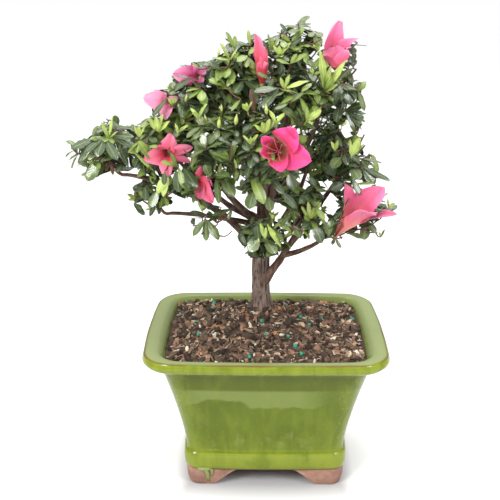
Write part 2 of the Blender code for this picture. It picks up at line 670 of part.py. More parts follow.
class FoliageBuilder:
    """Grows one mass: a stem, twigs from its hub, a whorl of leaves on each twig."""

    def __init__(self, mass, limbs, limb_trees, finish, retry):
        self.mass = mass
        self.finish = finish
        self.rng = random.Random(SEED + MASSES.index(mass) * 101 + retry)
        self.centre = Vector(mass.centre) * MM
        self.radii = Vector(mass.radii) * MM
        self.planes = cell_planes(mass)
        self.limb_trees = limb_trees
        self.limbs = limbs
        self.group = bpy.data.collections.new(mass.name + "_pieces")
        bpy.context.scene.collection.children.link(self.group)
        self.trees = []
        self.forks = 0

    def in_cell(self, points):
        """Tell whether all points lie on the mass's own side of every plane."""
        return all(normal.dot(point) <= offset for normal, offset in self.planes for point in points)

    def in_space(self, points, ease=1.0):
        """Tell whether all points lie in the mass's cell and its ellipsoid."""
        for point in points:
            scaled = [(point[i] - self.centre[i]) / self.radii[i] for i in range(3)]
            if sum(value * value for value in scaled) > ease * ease:
                return False
        return self.in_cell(points)

    def meets_limb(self, tree, but=()):
        """Tell whether a piece touches a limb other than the named ones."""
        return any(tree.overlap(limb) for name, limb in self.limb_trees.items() if name not in but)

    def add(self, body, label):
        """Keep a piece for the union."""
        piece = mesh_object(self.mass.name + "_" + label, body, self.finish)
        bpy.context.scene.collection.objects.unlink(piece)
        self.group.objects.link(piece)

    def start(self):
        """Return where the stem begins, its direction and its radius."""
        limb = self.limbs[self.mass.carrier]
        if self.mass.carrier == "trunk":
            point = limb.at(TRUNK_SPRAY_AT)
            way = self.centre - point
            way.z = SPRAY_RISE * way.length
            way.normalize()
            return point + way * SPRAY_START, way, TWIG_RADIUS
        way = limb.tip_direction()
        return limb.points[-1] + way * GAP, way, limb.radii[-1] * STEM_TAPER

    def grow(self):
        """Make the mass as one closed object."""
        start, way, radius = self.start()
        hub = start.lerp(self.centre, STEM_REACH)
        knee = start + way * (hub - start).length * STEM_KNEE
        stem = tube([start, knee, hub], [radius, radius, TWIG_RADIUS], 4)
        self.stem = (knee, hub)
        main = mesh_object(self.mass.name, stem, self.finish)
        for flower in self.mass.flowers:
            self.grow_flower(flower)
        self.grow_twigs(start)
        stem_mesh = main.data
        apply_boolean(main, "UNION", group=self.group)
        keep_largest_shell(main)
        if not is_closed(main.data):
            main.data = stem_mesh
            apply_boolean(main, "UNION", group=self.group, solver="MANIFOLD")
            keep_largest_shell(main)
        for piece in list(self.group.objects):
            bpy.data.objects.remove(piece, do_unlink=True)
        bpy.data.collections.remove(self.group)
        main.data.materials.clear()
        main.data.materials.append(self.finish)
        return main

    def next_fork(self):
        """Return the next point down the stem where a twig or stalk leaves it."""
        knee, hub = self.stem
        point = hub.lerp(knee, min(1.0, FORK_STEP * self.forks))
        self.forks += 1
        return point

    def grow_flower(self, flower):
        """Add a bloom on a stalk from the stem."""
        calyx = Vector(flower.calyx) * MM
        fork = self.next_fork()
        axis = Vector(flower.facing).normalized()
        bloom = flower_body(flower)
        tree = BVHTree.FromBMesh(bloom)
        stalk = tube([fork, fork.lerp(calyx, 0.5) - axis * STALK_BEND, calyx + axis * STALK_SINK],
                     [TWIG_TIP_RADIUS] * 3, 3)
        self.trees.append(tree)
        self.add(bloom, "bloom")
        self.add(stalk, "stalk")

    def grow_twigs(self, start):
        """Add twigs that spread evenly over the mass's space, each with its leaves."""
        count = self.mass.twigs
        turn = self.rng.uniform(0, 2 * math.pi)
        back = (start - self.centre).normalized()
        made = 0
        for index in range(count * 3):
            if made == count:
                break
            level = 1.0 - 2.0 * (index + 0.5) / (count * TWIG_LOWEST)
            if level < -1.0:
                break
            angle = turn + index * GOLDEN_ANGLE
            flat = math.sqrt(max(0.0, 1.0 - level * level))
            ray = Vector((flat * math.cos(angle), flat * math.sin(angle), level))
            if ray.dot(back) > BACKWARD:
                continue
            reach = self.rng.uniform(*TWIG_REACHES)
            end = self.centre + Vector([ray[i] * self.radii[i] for i in range(3)]) * reach
            if self.grow_twig(end):
                made += 1

    def grow_twig(self, end):
        """Add one twig and its whorl; return whether it fits."""
        fork = self.next_fork()
        middle = fork.lerp(end, 0.5)
        middle.z -= TWIG_SAG * (end - fork).length
        body = tube([fork, middle, end], [TWIG_RADIUS, TWIG_RADIUS, TWIG_TIP_RADIUS], 3)
        tree = BVHTree.FromBMesh(body)
        inside = self.in_cell([vert.co for vert in body.verts])
        if not inside or self.meets_limb(tree, but=(self.mass.carrier,)):
            body.free()
            self.forks -= 1
            return False
        self.add(body, "twig")
        axis = (end - middle).normalized()
        self.grow_whorl(middle, end, axis)
        return True

    def grow_whorl(self, middle, end, axis):
        """Add leaves round the end of a twig, each clear of limbs and of other leaves."""
        across, up = axes_across(axis)
        twist = self.rng.uniform(0, 2 * math.pi)
        for k in range(LEAVES_PER_WHORL + 1):
            for attempt in range(LEAF_TRIES):
                spin = twist + 2 * math.pi * k / LEAVES_PER_WHORL * WHORL_TURN
                spin += self.rng.uniform(-WHORL_LOOSENESS, WHORL_LOOSENESS)
                around = across * math.cos(spin) + up * math.sin(spin)
                at_tip = k == LEAVES_PER_WHORL
                spread = self.rng.uniform(*(TIP_LEAF_SPREADS if at_tip else LEAF_SPREADS))
                along = LEAF_FIRST + (0.0 if at_tip else LEAF_STEP * k)
                direction = (axis * math.cos(spread) + around * math.sin(spread)).normalized()
                direction.z += self.rng.uniform(*LEAF_LIFTS)
                direction.normalize()
                normal = (axis - direction * axis.dot(direction)).normalized()
                normal.z += SKYWARD
                normal = (normal - direction * normal.dot(direction)).normalized()
                size = self.rng.uniform(*LEAF_SIZES) * (1.0 - LEAF_SHRINK * attempt)
                if self.try_leaf(end.lerp(middle, along), direction, normal, size):
                    break

    def try_leaf(self, root, direction, normal, size):
        """Add a leaf if it keeps to the space and touches nothing but its own twig."""
        body = leaf_body(root, direction, normal, LEAF_LENGTH * size, LEAF_WIDTH * size)
        points = [vert.co.copy() for vert in body.verts]
        tree = BVHTree.FromBMesh(body)
        clear = self.in_space(points, LEAF_REACH) and not self.meets_limb(tree)
        if not clear or any(tree.overlap(other) for other in self.trees):
            body.free()
            return False
        self.trees.append(tree)
        self.add(body, "leaf")
        return True


def main():
    """Build the pot, the soil, the limbs and the foliage."""
    clear_scene()
    glaze = material("pot_glaze", (0.20, 0.30, 0.03), 0.15)
    clay = material("foot_clay", (0.40, 0.20, 0.12), 0.85)
    earth = material("soil_bark", (0.07, 0.04, 0.025), 0.95)
    bark = material("bark", (0.16, 0.11, 0.08), 0.90)
    green = material("foliage_green", (0.05, 0.11, 0.03), 0.50)
    make_bowl(glaze)
    make_feet(clay)
    make_soil(earth)
    limbs = make_limbs(bark)
    limb_trees = {name: surface_tree(limb.body(LIMB_CLEARANCE)) for name, limb in limbs.items()}
    for mass in MASSES:
        for retry in range(SEED_TRIES):
            builder = FoliageBuilder(mass, limbs, limb_trees, green, retry)
            made = builder.grow()
            if is_closed(made.data):
                break
            bpy.data.objects.remove(made, do_unlink=True)


main()
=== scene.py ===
"""An azalea bonsai in flower, in a green glazed pot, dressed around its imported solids.

The solids give the pot, the soil, the trunk, the boughs and the space that each mass of
foliage keeps to. Here they are carried on: bark with its ridges, twigs down to the last
shoot, leaves in whorls, ruffled blooms, coarse soil, and glaze over unglazed feet.
Sizes in the rows and classes are millimetres, but the finishes and the studio, like the
meshes, are in metres.
"""

import json
import logging
import math
import random
from collections.abc import Callable, Sequence
from dataclasses import dataclass, field
from enum import Enum

import bpy
import numpy as np
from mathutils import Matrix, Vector, noise
from mathutils.bvhtree import BVHTree

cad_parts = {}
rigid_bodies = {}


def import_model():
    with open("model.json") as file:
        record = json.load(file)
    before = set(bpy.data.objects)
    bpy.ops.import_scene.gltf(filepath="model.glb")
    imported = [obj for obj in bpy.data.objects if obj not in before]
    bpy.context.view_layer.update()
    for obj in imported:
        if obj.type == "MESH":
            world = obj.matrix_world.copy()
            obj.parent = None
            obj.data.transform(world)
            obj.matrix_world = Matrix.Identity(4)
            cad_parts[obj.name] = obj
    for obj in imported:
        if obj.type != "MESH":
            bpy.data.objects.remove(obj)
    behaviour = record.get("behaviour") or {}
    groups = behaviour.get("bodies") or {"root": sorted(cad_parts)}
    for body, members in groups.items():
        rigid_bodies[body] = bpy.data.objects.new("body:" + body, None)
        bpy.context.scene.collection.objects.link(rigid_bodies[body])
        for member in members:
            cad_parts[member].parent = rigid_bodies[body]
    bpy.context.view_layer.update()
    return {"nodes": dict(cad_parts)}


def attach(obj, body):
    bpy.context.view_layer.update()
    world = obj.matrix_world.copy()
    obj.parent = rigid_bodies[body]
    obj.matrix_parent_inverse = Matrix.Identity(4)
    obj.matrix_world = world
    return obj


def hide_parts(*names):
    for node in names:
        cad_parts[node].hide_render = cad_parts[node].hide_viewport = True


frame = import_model()

LOG = logging.getLogger("azalea")
MM = 0.001
SEED = 41
BODY = "root"
MARK = "mark"
GOLDEN_ANGLE = math.pi * (3.0 - math.sqrt(5.0))
UP = Vector((0.0, 0.0, 1.0))

Colour = tuple[float, float, float]
Place = tuple[float, float, float]
Socket = bpy.types.NodeSocket
Tree = bpy.types.NodeTree
Node = bpy.types.Node
Material = bpy.types.Material


# Camera


@dataclass(frozen=True)
class PhotoCamera:
    """The photograph's camera: its place in mm, its aim in degrees, its focal length in pixels."""

    place: Place = (18.1, -669.5, 423.4)
    pitch: float = 19.04
    yaw: float = -0.68
    focal: float = 800.0
    frame: float = 500.0
    sensor: float = 36.0

    def axes(self) -> tuple[Vector, Vector, Vector]:
        """Work out the camera's directions.

        Returns:
            Its right, up and forward directions in the row frame.
        """
        pitch = math.radians(self.pitch)
        yaw = math.radians(self.yaw)
        forward = Vector((math.sin(yaw) * math.cos(pitch), math.cos(yaw) * math.cos(pitch), -math.sin(pitch)))
        right = Vector((math.cos(yaw), -math.sin(yaw), 0.0))
        return right, right.cross(forward), forward

    def pixel(self, point: Vector) -> Vector:
        """Project a point.

        Args:
            point: A point in the row frame, in metres.

        Returns:
            Its column and row in the photograph's frame, and its depth in metres.
        """
        right, up, forward = self.axes()
        ray = point - Vector(self.place) * MM
        depth = ray.dot(forward)
        half = self.frame / 2
        column = half + self.focal * ray.dot(right) / depth
        row = half - self.focal * ray.dot(up) / depth
        return Vector((column, row, depth))

    def ray(self, column: float, row: float) -> tuple[Vector, Vector]:
        """Work out a pixel's ray.

        Args:
            column: The pixel's column.
            row: The pixel's row.

        Returns:
            Its start in metres, and its direction.
        """
        right, up, forward = self.axes()
        half = self.frame / 2
        return Vector(self.place) * MM, forward * self.focal + right * (column - half) + up * (half - row)

    def on_level(self, column: float, row: float, height: float) -> Vector:
        """Find where a pixel's ray meets a level plane.

        Args:
            column: The pixel's column.
            row: The pixel's row.
            height: The plane's height in metres.

        Returns:
            The point in the row frame, in metres.
        """
        start, way = self.ray(column, row)
        return start + way * ((height - start.z) / way.z)

    def at_depth(self, column: float, row: float, depth: float) -> Vector:
        """Find where a pixel's ray meets an upright plane across the view.

        Args:
            column: The pixel's column.
            row: The pixel's row.
            depth: The plane's Y in metres.

        Returns:
            The point in the row frame, in metres.
        """
        start, way = self.ray(column, row)
        return start + way * ((depth - start.y) / way.y)

    def build(self) -> bpy.types.Object:
        """Make the camera and give it to the scene.

        Returns:
            The camera object.
        """
        data = bpy.data.cameras.new("photo_camera")
        data.sensor_width = self.sensor
        data.lens = self.focal * self.sensor / self.frame
        data.dof.use_dof = False
        data.clip_end = 100.0
        made = bpy.data.objects.new("photo_camera", data)
        made.location = Vector(self.place) * MM
        made.rotation_euler = self.axes()[2].to_track_quat("-Z", "Y").to_euler()
        bpy.context.scene.collection.objects.link(made)
        bpy.context.scene.camera = made
        return made


CAMERA = PhotoCamera()


# Shader nodes


def put(tree: Tree, kind: str, inputs: dict | None = None, **settings: object) -> Node:
    """Add one node to a tree.

    Args:
        tree: The node tree.
        kind: The node's type, without its ShaderNode prefix.
        inputs: Input sockets by name or number, each with a value or a socket to link.
        settings: The node's own properties.

    Returns:
        The new node.
    """
    node = tree.nodes.new("ShaderNode" + kind)
    for key, value in settings.items():
        setattr(node, key, value)
    for key, value in (inputs or {}).items():
        if isinstance(value, Socket):
            tree.links.new(value, node.inputs[key])
        else:
            node.inputs[key].default_value = value
    return node


def blend(tree: Tree, share: float | Socket, low: Colour | Socket, high: Colour | Socket) -> Socket:
    """Mix two colours.

    Args:
        tree: The node tree.
        share: How much of the second colour shows.
        low: The first colour.
        high: The second colour.

    Returns:
        The mixed colour's socket.
    """
    ends = {6: low, 7: high}
    inputs = {key: value if isinstance(value, Socket) else (*value, 1.0) for key, value in ends.items()}
    return put(tree, "Mix", {0: share, **inputs}, data_type="RGBA").outputs[2]


def span(tree: Tree, value: Socket, low: float | Socket, high: float | Socket,
         to_low: float = 0.0, to_high: float = 1.0) -> Socket:
    """Stretch a value's range from low..high to to_low..to_high, held at its ends.

    Args:
        tree: The node tree.
        value: The value's socket.
        low: The value that becomes to_low.
        high: The value that becomes to_high.
        to_low: The first new end.
        to_high: The second new end.

    Returns:
        The new value's socket.
    """
    inputs = {"Value": value, "From Min": low, "From Max": high, "To Min": to_low, "To Max": to_high}
    return put(tree, "MapRange", inputs).outputs[0]


def maths(tree: Tree, operation: str, *values: float | Socket) -> Socket:
    """Add one Math node.

    Args:
        tree: The node tree.
        operation: The node's operation.
        values: Its inputs.

    Returns:
        The result's socket.
    """
    return put(tree, "Math", dict(enumerate(values)), operation=operation).outputs[0]


def marks(tree: Tree) -> tuple[Socket, Socket, Socket]:
    """Read the three values that the mesh code wrote at each vertex.

    Args:
        tree: The node tree.

    Returns:
        The three values' sockets.
    """
    read = put(tree, "Attribute", attribute_name=MARK)
    parts = put(tree, "SeparateXYZ", {0: read.outputs["Vector"]})
    return parts.outputs[0], parts.outputs[1], parts.outputs[2]


class Effect(Enum):
    """The shader groups that several finishes share."""

    MOTTLE = "mottle"
    SPECKLE = "speckle"
    FIBRE = "fibre"
    VEINS = "veins"


class EffectGroups:
    """Builds each shared shader group once, and places it in a material."""

    def __init__(self) -> None:
        """Start with no group built."""
        self.built: dict[Effect, Tree] = {}

    def place(self, tree: Tree, effect: Effect, **values: float) -> dict[str, Socket]:
        """Put a group into a material.

        Args:
            tree: The material's node tree.
            effect: Which group.
            values: The group's input values by name.

        Returns:
            The group's output sockets by name.
        """
        if effect not in self.built:
            self.built[effect] = getattr(self, effect.value)()
        node = tree.nodes.new("ShaderNodeGroup")
        node.node_tree = self.built[effect]
        for name, value in values.items():
            node.inputs[name].default_value = value
        return {socket.name: socket for socket in node.outputs}

    @staticmethod
    def open_group(name: str, inputs: Sequence[str], outputs: Sequence[str]) -> tuple:
        """Start a group with number sockets.

        Args:
            name: The group's name.
            inputs: The names of its inputs.
            outputs: The names of its outputs.

        Returns:
            The tree, the sockets of its inputs by name, and its output node.
        """
        tree = bpy.data.node_groups.new(name, "ShaderNodeTree")
        for label in inputs:
            tree.interface.new_socket(name=label, in_out="INPUT", socket_type="NodeSocketFloat")
        for label in outputs:
            tree.interface.new_socket(name=label, in_out="OUTPUT", socket_type="NodeSocketFloat")
        start = tree.nodes.new("NodeGroupInput")
        return tree, start.outputs, tree.nodes.new("NodeGroupOutput")

    def mottle(self) -> Tree:
        """Soft patches: a mask between two levels, and the plain height of the noise.

        Returns:
            The group.
        """
        tree, given, result = self.open_group("mottle", ("Scale", "Low", "High"), ("Mask", "Height"))
        where = put(tree, "TexCoord").outputs["Object"]
        cloud = put(tree, "TexNoise", {"Vector": where, "Scale": given["Scale"], "Detail": 5.0})
        tree.links.new(span(tree, cloud.outputs["Fac"], given["Low"], given["High"]), result.inputs["Mask"])
        tree.links.new(cloud.outputs["Fac"], result.inputs["Height"])
        return tree

    def speckle(self) -> Tree:
        """Small round specks: a mask that is 1 inside each speck.

        Returns:
            The group.
        """
        tree, given, result = self.open_group("speckle", ("Scale", "Size"), ("Mask", "Height"))
        where = put(tree, "TexCoord").outputs["Object"]
        cells = put(tree, "TexVoronoi", {"Vector": where, "Scale": given["Scale"]})
        near = cells.outputs["Distance"]
        tree.links.new(span(tree, near, given["Size"], 0.0), result.inputs["Mask"])
        tree.links.new(near, result.inputs["Height"])
        return tree

    def fibre(self) -> Tree:
        """Long streaks that run up the plant, for bark and wood.

        Returns:
            The group.
        """
        tree, given, result = self.open_group("fibre", ("Scale", "Stretch"), ("Mask", "Height"))
        where = put(tree, "TexCoord").outputs["Object"]
        shrink = maths(tree, "DIVIDE", 1.0, given["Stretch"])
        scale = put(tree, "CombineXYZ", {0: 1.0, 1: 1.0, 2: shrink}).outputs[0]
        drawn = put(tree, "VectorMath", {0: where, 1: scale}, operation="MULTIPLY").outputs[0]
        inputs = {"Vector": drawn, "Scale": given["Scale"], "Detail": 6.0, "Distortion": 0.6}
        cloud = put(tree, "TexNoise", inputs)
        mask = span(tree, cloud.outputs["Fac"], 0.38, 0.62)
        tree.links.new(mask, result.inputs["Mask"])
        tree.links.new(cloud.outputs["Fac"], result.inputs["Height"])
        return tree

    def veins(self) -> Tree:
        """A leaf's midrib and side veins, from the along and across values at its vertices.

        Returns:
            The group.
        """
        tree, given, result = self.open_group("veins", ("Count", "Slant"), ("Rib", "Veins"))
        along, across, _ = marks(tree)
        off = maths(tree, "ABSOLUTE", across)
        rib = span(tree, off, 0.20, 0.02)
        slanted = maths(tree, "SUBTRACT", along, maths(tree, "MULTIPLY", off, given["Slant"]))
        wave = maths(tree, "SINE", maths(tree, "MULTIPLY", slanted, given["Count"]))
        tree.links.new(rib, result.inputs["Rib"])
        tree.links.new(span(tree, wave, 0.55, 1.0), result.inputs["Veins"])
        return tree


EFFECTS = EffectGroups()


def finish_material(name: str, paint: Callable, **constants: object) -> Material:
    """Make a Principled material.

    Args:
        name: The material's name.
        paint: A function of the tree that returns its linked sockets by input name, among
            them Height for the relief, with Relief, its depth in metres.
        constants: Values set on the shader's own sockets, with _ for a space.

    Returns:
        The material.
    """
    made = bpy.data.materials.new(name)
    made.use_nodes = True
    tree = made.node_tree
    shader = tree.nodes["Principled BSDF"]
    for key, value in constants.items():
        shader.inputs[key.replace("_", " ")].default_value = value
    links = paint(tree)
    relief = links.pop("Relief", 0.0)
    height = links.pop("Height", None)
    if height is not None:
        bump = put(tree, "Bump", {"Height": height, "Distance": relief, "Strength": 1.0})
        tree.links.new(bump.outputs[0], shader.inputs["Normal"])
    for key, socket in links.items():
        tree.links.new(socket, shader.inputs[key])
    return made


# Finishes


@dataclass(frozen=True)
class GlazeFinish:
    """Green glaze: deep where it is thick, yellow where it is thin, brown where it breaks, with painted shade
    under the rim and a pale band that is partly a painted reflection.
    """

    name: str = "glaze_green"
    # shade: the colour of the painted shade under the rim
    shade: Colour = (0.062, 0.082, 0.002)
    deep: Colour = (0.068, 0.098, 0.001)
    leaf: Colour = (0.088, 0.126, 0.002)
    thin: Colour = (0.186, 0.226, 0.019)
    pale: Colour = (0.158, 0.198, 0.050)
    fleck: Colour = (0.330, 0.400, 0.060)
    broken: Colour = (0.130, 0.060, 0.018)
    lip: Colour = (0.215, 0.255, 0.096)
    # The pale band, partly the glaze's own paler run and partly a painted reflection: the heights of its wavy
    # lower edge and of its top, where the painted shade begins, its middle across the pot, and its fall to
    # the sides, in metres.
    veil_low: tuple[float, float] = (0.0995, 0.1015)
    veil_top: tuple[float, float] = (0.1010, 0.0985)
    veil_middle: float = 0.012
    veil_side: tuple[float, float] = (0.066, 0.040)
    drift_low: tuple[float, float] = (0.036, 0.042)
    drift_top: tuple[float, float] = (0.070, 0.056)
    relief: float = 0.0022

    def paint(self, tree: Tree) -> dict:
        """Lay the glaze's colours by its thickness, which the mesh's marks give, with painted shade at the
        panel's top under the rim and a pale band that is partly a painted reflection.

        Args:
            tree: The material's node tree.

        Returns:
            The sockets for the shader, by input name.
        """
        thin, bare, lip = marks(tree)
        where = put(tree, "TexCoord").outputs["Object"]
        across, _, height = put(tree, "SeparateXYZ", {0: where}).outputs
        aside = maths(tree, "ABSOLUTE", maths(tree, "SUBTRACT", across, self.veil_middle))
        cloud = EFFECTS.place(tree, Effect.MOTTLE, Scale=26.0, Low=0.36, High=0.66)
        blobs = EFFECTS.place(tree, Effect.MOTTLE, Scale=70.0, Low=0.52, High=0.66)
        fine = EFFECTS.place(tree, Effect.MOTTLE, Scale=420.0, Low=0.50, High=0.72)
        specks = EFFECTS.place(tree, Effect.SPECKLE, Scale=330.0, Size=0.40)
        streaks = EFFECTS.place(tree, Effect.FIBRE, Scale=120.0, Stretch=5.0)
        colour = blend(tree, cloud["Mask"], self.deep, self.leaf)
        # Painted shade: the top of the panel, under the rim's overhang, darkens toward the shade colour.
        top = span(tree, height, self.veil_top[1], self.veil_top[0])
        colour = blend(tree, maths(tree, "MULTIPLY", top, 0.8), colour, self.shade)
        # A pale band with a wavy lower edge, strongest across the panel's middle: the glaze's own paler run
        # and a painted reflection of the light in front.
        wavy = maths(tree, "MULTIPLY_ADD", cloud["Height"], 0.032, height)
        glaze_band_and_reflection = maths(tree, "MULTIPLY", span(tree, wavy, *self.veil_low), span(tree, height, *self.veil_top))
        glaze_band_and_reflection = maths(tree, "MULTIPLY", glaze_band_and_reflection, span(tree, aside, *self.veil_side, to_low=0.10, to_high=0.70))
        colour = blend(tree, glaze_band_and_reflection, colour, self.pale)
        low, high = span(tree, height, *self.drift_low), span(tree, height, *self.drift_top)
        drift = maths(tree, "MULTIPLY", maths(tree, "MULTIPLY", low, high), streaks["Mask"])
        drift = maths(tree, "MULTIPLY_ADD", drift, 0.65, 0.06)
        spread = maths(tree, "MULTIPLY", blobs["Mask"], drift)
        colour = blend(tree, spread, colour, self.pale)
        near_edge = span(tree, thin, 0.0, 0.25, 0.15, 0.9)
        dots = maths(tree, "MULTIPLY", specks["Mask"], fine["Mask"])
        colour = blend(tree, maths(tree, "MULTIPLY", dots, near_edge), colour, self.fleck)
        ragged = maths(tree, "MULTIPLY_ADD", streaks["Mask"], 0.30, thin)
        ragged = maths(tree, "SUBTRACT", ragged, 0.15)
        colour = blend(tree, span(tree, ragged, 0.0, 1.0), colour, self.thin)
        pooled = maths(tree, "MULTIPLY", blobs["Mask"], span(tree, thin, 0.0, 0.8, 0.0, 0.55))
        colour = blend(tree, pooled, colour, self.leaf)
        colour = blend(tree, lip, colour, self.lip)
        edge = maths(tree, "MULTIPLY_ADD", cloud["Height"], 0.9, bare)
        colour = blend(tree, span(tree, edge, 0.95, 1.25), colour, self.broken)
        rough = span(tree, fine["Height"], 0.3, 0.7, 0.07, 0.15)
        return {"Base Color": colour, "Roughness": rough, "Height": cloud["Height"], "Relief": self.relief}

    def build(self) -> Material:
        """Return the glaze as a material."""
        return finish_material(self.name, self.paint, IOR=1.45, Specular_IOR_Level=0.10,
                               Coat_Weight=0.38, Coat_Roughness=0.03)


@dataclass(frozen=True)
class ClayFinish:
    """Unglazed pinkish stoneware with fine grog in it."""

    pale: Colour = (0.37, 0.205, 0.150)
    dark: Colour = (0.21, 0.105, 0.070)
    relief: float = 0.0003

    def paint(self, tree: Tree) -> dict:
        """Lay the clay's patches and its grit.

        Args:
            tree: The material's node tree.

        Returns:
            The sockets for the shader, by input name.
        """
        cloud = EFFECTS.place(tree, Effect.MOTTLE, Scale=90.0, Low=0.35, High=0.70)
        grit = EFFECTS.place(tree, Effect.SPECKLE, Scale=900.0, Size=0.30)
        colour = blend(tree, cloud["Mask"], self.dark, self.pale)
        colour = blend(tree, maths(tree, "MULTIPLY", grit["Mask"], 0.4), colour, self.dark)
        rough = span(tree, cloud["Height"], 0.3, 0.7, 0.72, 0.92)
        return {"Base Color": colour, "Roughness": rough, "Height": grit["Height"], "Relief": self.relief}

    def build(self) -> Material:
        """Return the clay as a material."""
        return finish_material("clay_unglazed", self.paint, IOR=1.5)


@dataclass(frozen=True)
class BarkFinish:
    """Azalea bark: grey ridges over reddish-brown furrows."""

    name: str
    ridge: Colour
    furrow: Colour
    stain: Colour
    scale: float = 260.0
    relief: float = 0.0008

    def paint(self, tree: Tree) -> dict:
        """Colour the bark by the relief in its mesh, with fibres over it.

        Args:
            tree: The material's node tree.

        Returns:
            The sockets for the shader, by input name.
        """
        height, _, _ = marks(tree)
        fibres = EFFECTS.place(tree, Effect.FIBRE, Scale=self.scale, Stretch=7.0)
        cloud = EFFECTS.place(tree, Effect.MOTTLE, Scale=110.0, Low=0.42, High=0.62)
        worn = maths(tree, "MULTIPLY_ADD", fibres["Mask"], 0.45, height)
        colour = blend(tree, span(tree, worn, 0.40, 1.05), self.furrow, self.ridge)
        colour = blend(tree, maths(tree, "MULTIPLY", cloud["Mask"], 0.45), colour, self.stain)
        rough = span(tree, fibres["Height"], 0.3, 0.7, 0.70, 0.95)
        return {"Base Color": colour, "Roughness": rough, "Height": fibres["Height"], "Relief": self.relief}

    def build(self) -> Material:
        """Return the bark as a material."""
        return finish_material(self.name, self.paint, IOR=1.45)


@dataclass(frozen=True)
class LeafFinish:
    """One side of a leaf: its plain colour, a paler rib and veins, and its gloss."""

    name: str
    colour: Colour
    rib: Colour
    roughness: float
    gloss: float
    vein_share: float = 0.45
    relief: float = 0.00040

    def paint(self, tree: Tree) -> dict:
        """Lay the rib and the veins over a slightly uneven green.

        Args:
            tree: The material's node tree.

        Returns:
            The sockets for the shader, by input name.
        """
        veins = EFFECTS.place(tree, Effect.VEINS, Count=46.0, Slant=0.30)
        cloud = EFFECTS.place(tree, Effect.MOTTLE, Scale=130.0, Low=0.35, High=0.70)
        deep = tuple(part * 0.62 for part in self.colour)
        colour = blend(tree, cloud["Mask"], deep, self.colour)
        lines = maths(tree, "MULTIPLY_ADD", veins["Veins"], 0.30, veins["Rib"])
        colour = blend(tree, maths(tree, "MULTIPLY", lines, self.vein_share), colour, self.rib)
        rough = span(tree, cloud["Height"], 0.3, 0.7, self.roughness * 0.85, self.roughness * 1.2)
        height = maths(tree, "MULTIPLY_ADD", veins["Veins"], -0.5, cloud["Height"])
        return {"Base Color": colour, "Roughness": rough, "Height": height, "Relief": self.relief}

    def build(self) -> Material:
        """Return this side of the leaf as a material."""
        return finish_material(self.name, self.paint, IOR=1.5, Coat_Weight=self.gloss, Coat_Roughness=0.14)


@dataclass(frozen=True)
class PetalFinish:
    """A petal: deeper towards the throat, in its own red and painted shade, its own pink over the lobe, paler
    at the rim.
    """

    name: str
    throat: Colour
    lobe: Colour
    rim: Colour
    relief: float = 0.00035

    def paint(self, tree: Tree) -> dict:
        """Lay the petal's colours from its base to its rim, with fine veins, painted shade towards the throat
        and along the middle crease.

        Args:
            tree: The material's node tree.

        Returns:
            The sockets for the shader, by input name.
        """
        along, across, _ = marks(tree)
        veins = EFFECTS.place(tree, Effect.VEINS, Count=60.0, Slant=0.55)
        cloud = EFFECTS.place(tree, Effect.MOTTLE, Scale=160.0, Low=0.35, High=0.70)
        uneven = maths(tree, "MULTIPLY_ADD", cloud["Height"], 0.22, along)
        # Deeper towards the base: the throat's own red, spread out over the petal as painted shade.
        colour = blend(tree, span(tree, uneven, 0.34, 0.74), self.throat, self.lobe)
        off = maths(tree, "ABSOLUTE", across)
        sides = span(tree, off, 0.20, 0.9, 0.35, 1.0)
        outer = maths(tree, "MULTIPLY", span(tree, uneven, 0.60, 1.05), sides)
        colour = blend(tree, outer, colour, self.rim)
        # Painted shade along the petal's middle crease, deepest towards its base.
        crease_shade = maths(tree, "MULTIPLY", span(tree, off, 0.30, 0.0), span(tree, uneven, 1.1, 0.5, 0.0, 0.45))
        colour = blend(tree, crease_shade, colour, self.throat)
        lines = maths(tree, "MULTIPLY", veins["Veins"], 0.30)
        colour = blend(tree, lines, colour, self.throat)
        height = maths(tree, "MULTIPLY_ADD", veins["Veins"], -0.4, cloud["Height"])
        rough = span(tree, cloud["Height"], 0.3, 0.7, 0.42, 0.60)
        return {"Base Color": colour, "Roughness": rough, "Height": height, "Relief": self.relief}

    def build(self) -> Material:
        """Return the petal as a material."""
        return finish_material(self.name, self.paint, IOR=1.4, Sheen_Weight=0.25, Sheen_Roughness=0.4)


@dataclass(frozen=True)
class GrainFinish:
    """A matt, uneven crumb of soil, bark chip or fertiliser, with painted shade in its hollows."""

    name: str
    colour: Colour
    # shade: how dark the painted shade in the hollows is, as a share of the colour
    shade: float = 0.45
    roughness: float = 0.9
    scale: float = 380.0
    relief: float = 0.0008

    def paint(self, tree: Tree) -> dict:
        """Lay painted shade in the relief's hollows over the crumb's colour.

        Args:
            tree: The material's node tree.

        Returns:
            The sockets for the shader, by input name.
        """
        cloud = EFFECTS.place(tree, Effect.MOTTLE, Scale=self.scale, Low=0.36, High=0.64)
        grit = EFFECTS.place(tree, Effect.SPECKLE, Scale=self.scale * 2.2, Size=0.42)
        # Painted shade: darker where the relief, from the same noise, is low.
        dark = tuple(part * self.shade for part in self.colour)
        colour = blend(tree, cloud["Mask"], dark, self.colour)
        colour = blend(tree, maths(tree, "MULTIPLY", grit["Mask"], 0.25), colour, dark)
        rough = span(tree, cloud["Height"], 0.3, 0.7, self.roughness * 0.85, self.roughness)
        return {"Base Color": colour, "Roughness": rough, "Height": cloud["Height"], "Relief": self.relief}

    def build(self) -> Material:
        """Return the crumb's finish as a material."""
        return finish_material(self.name, self.paint, IOR=1.45)


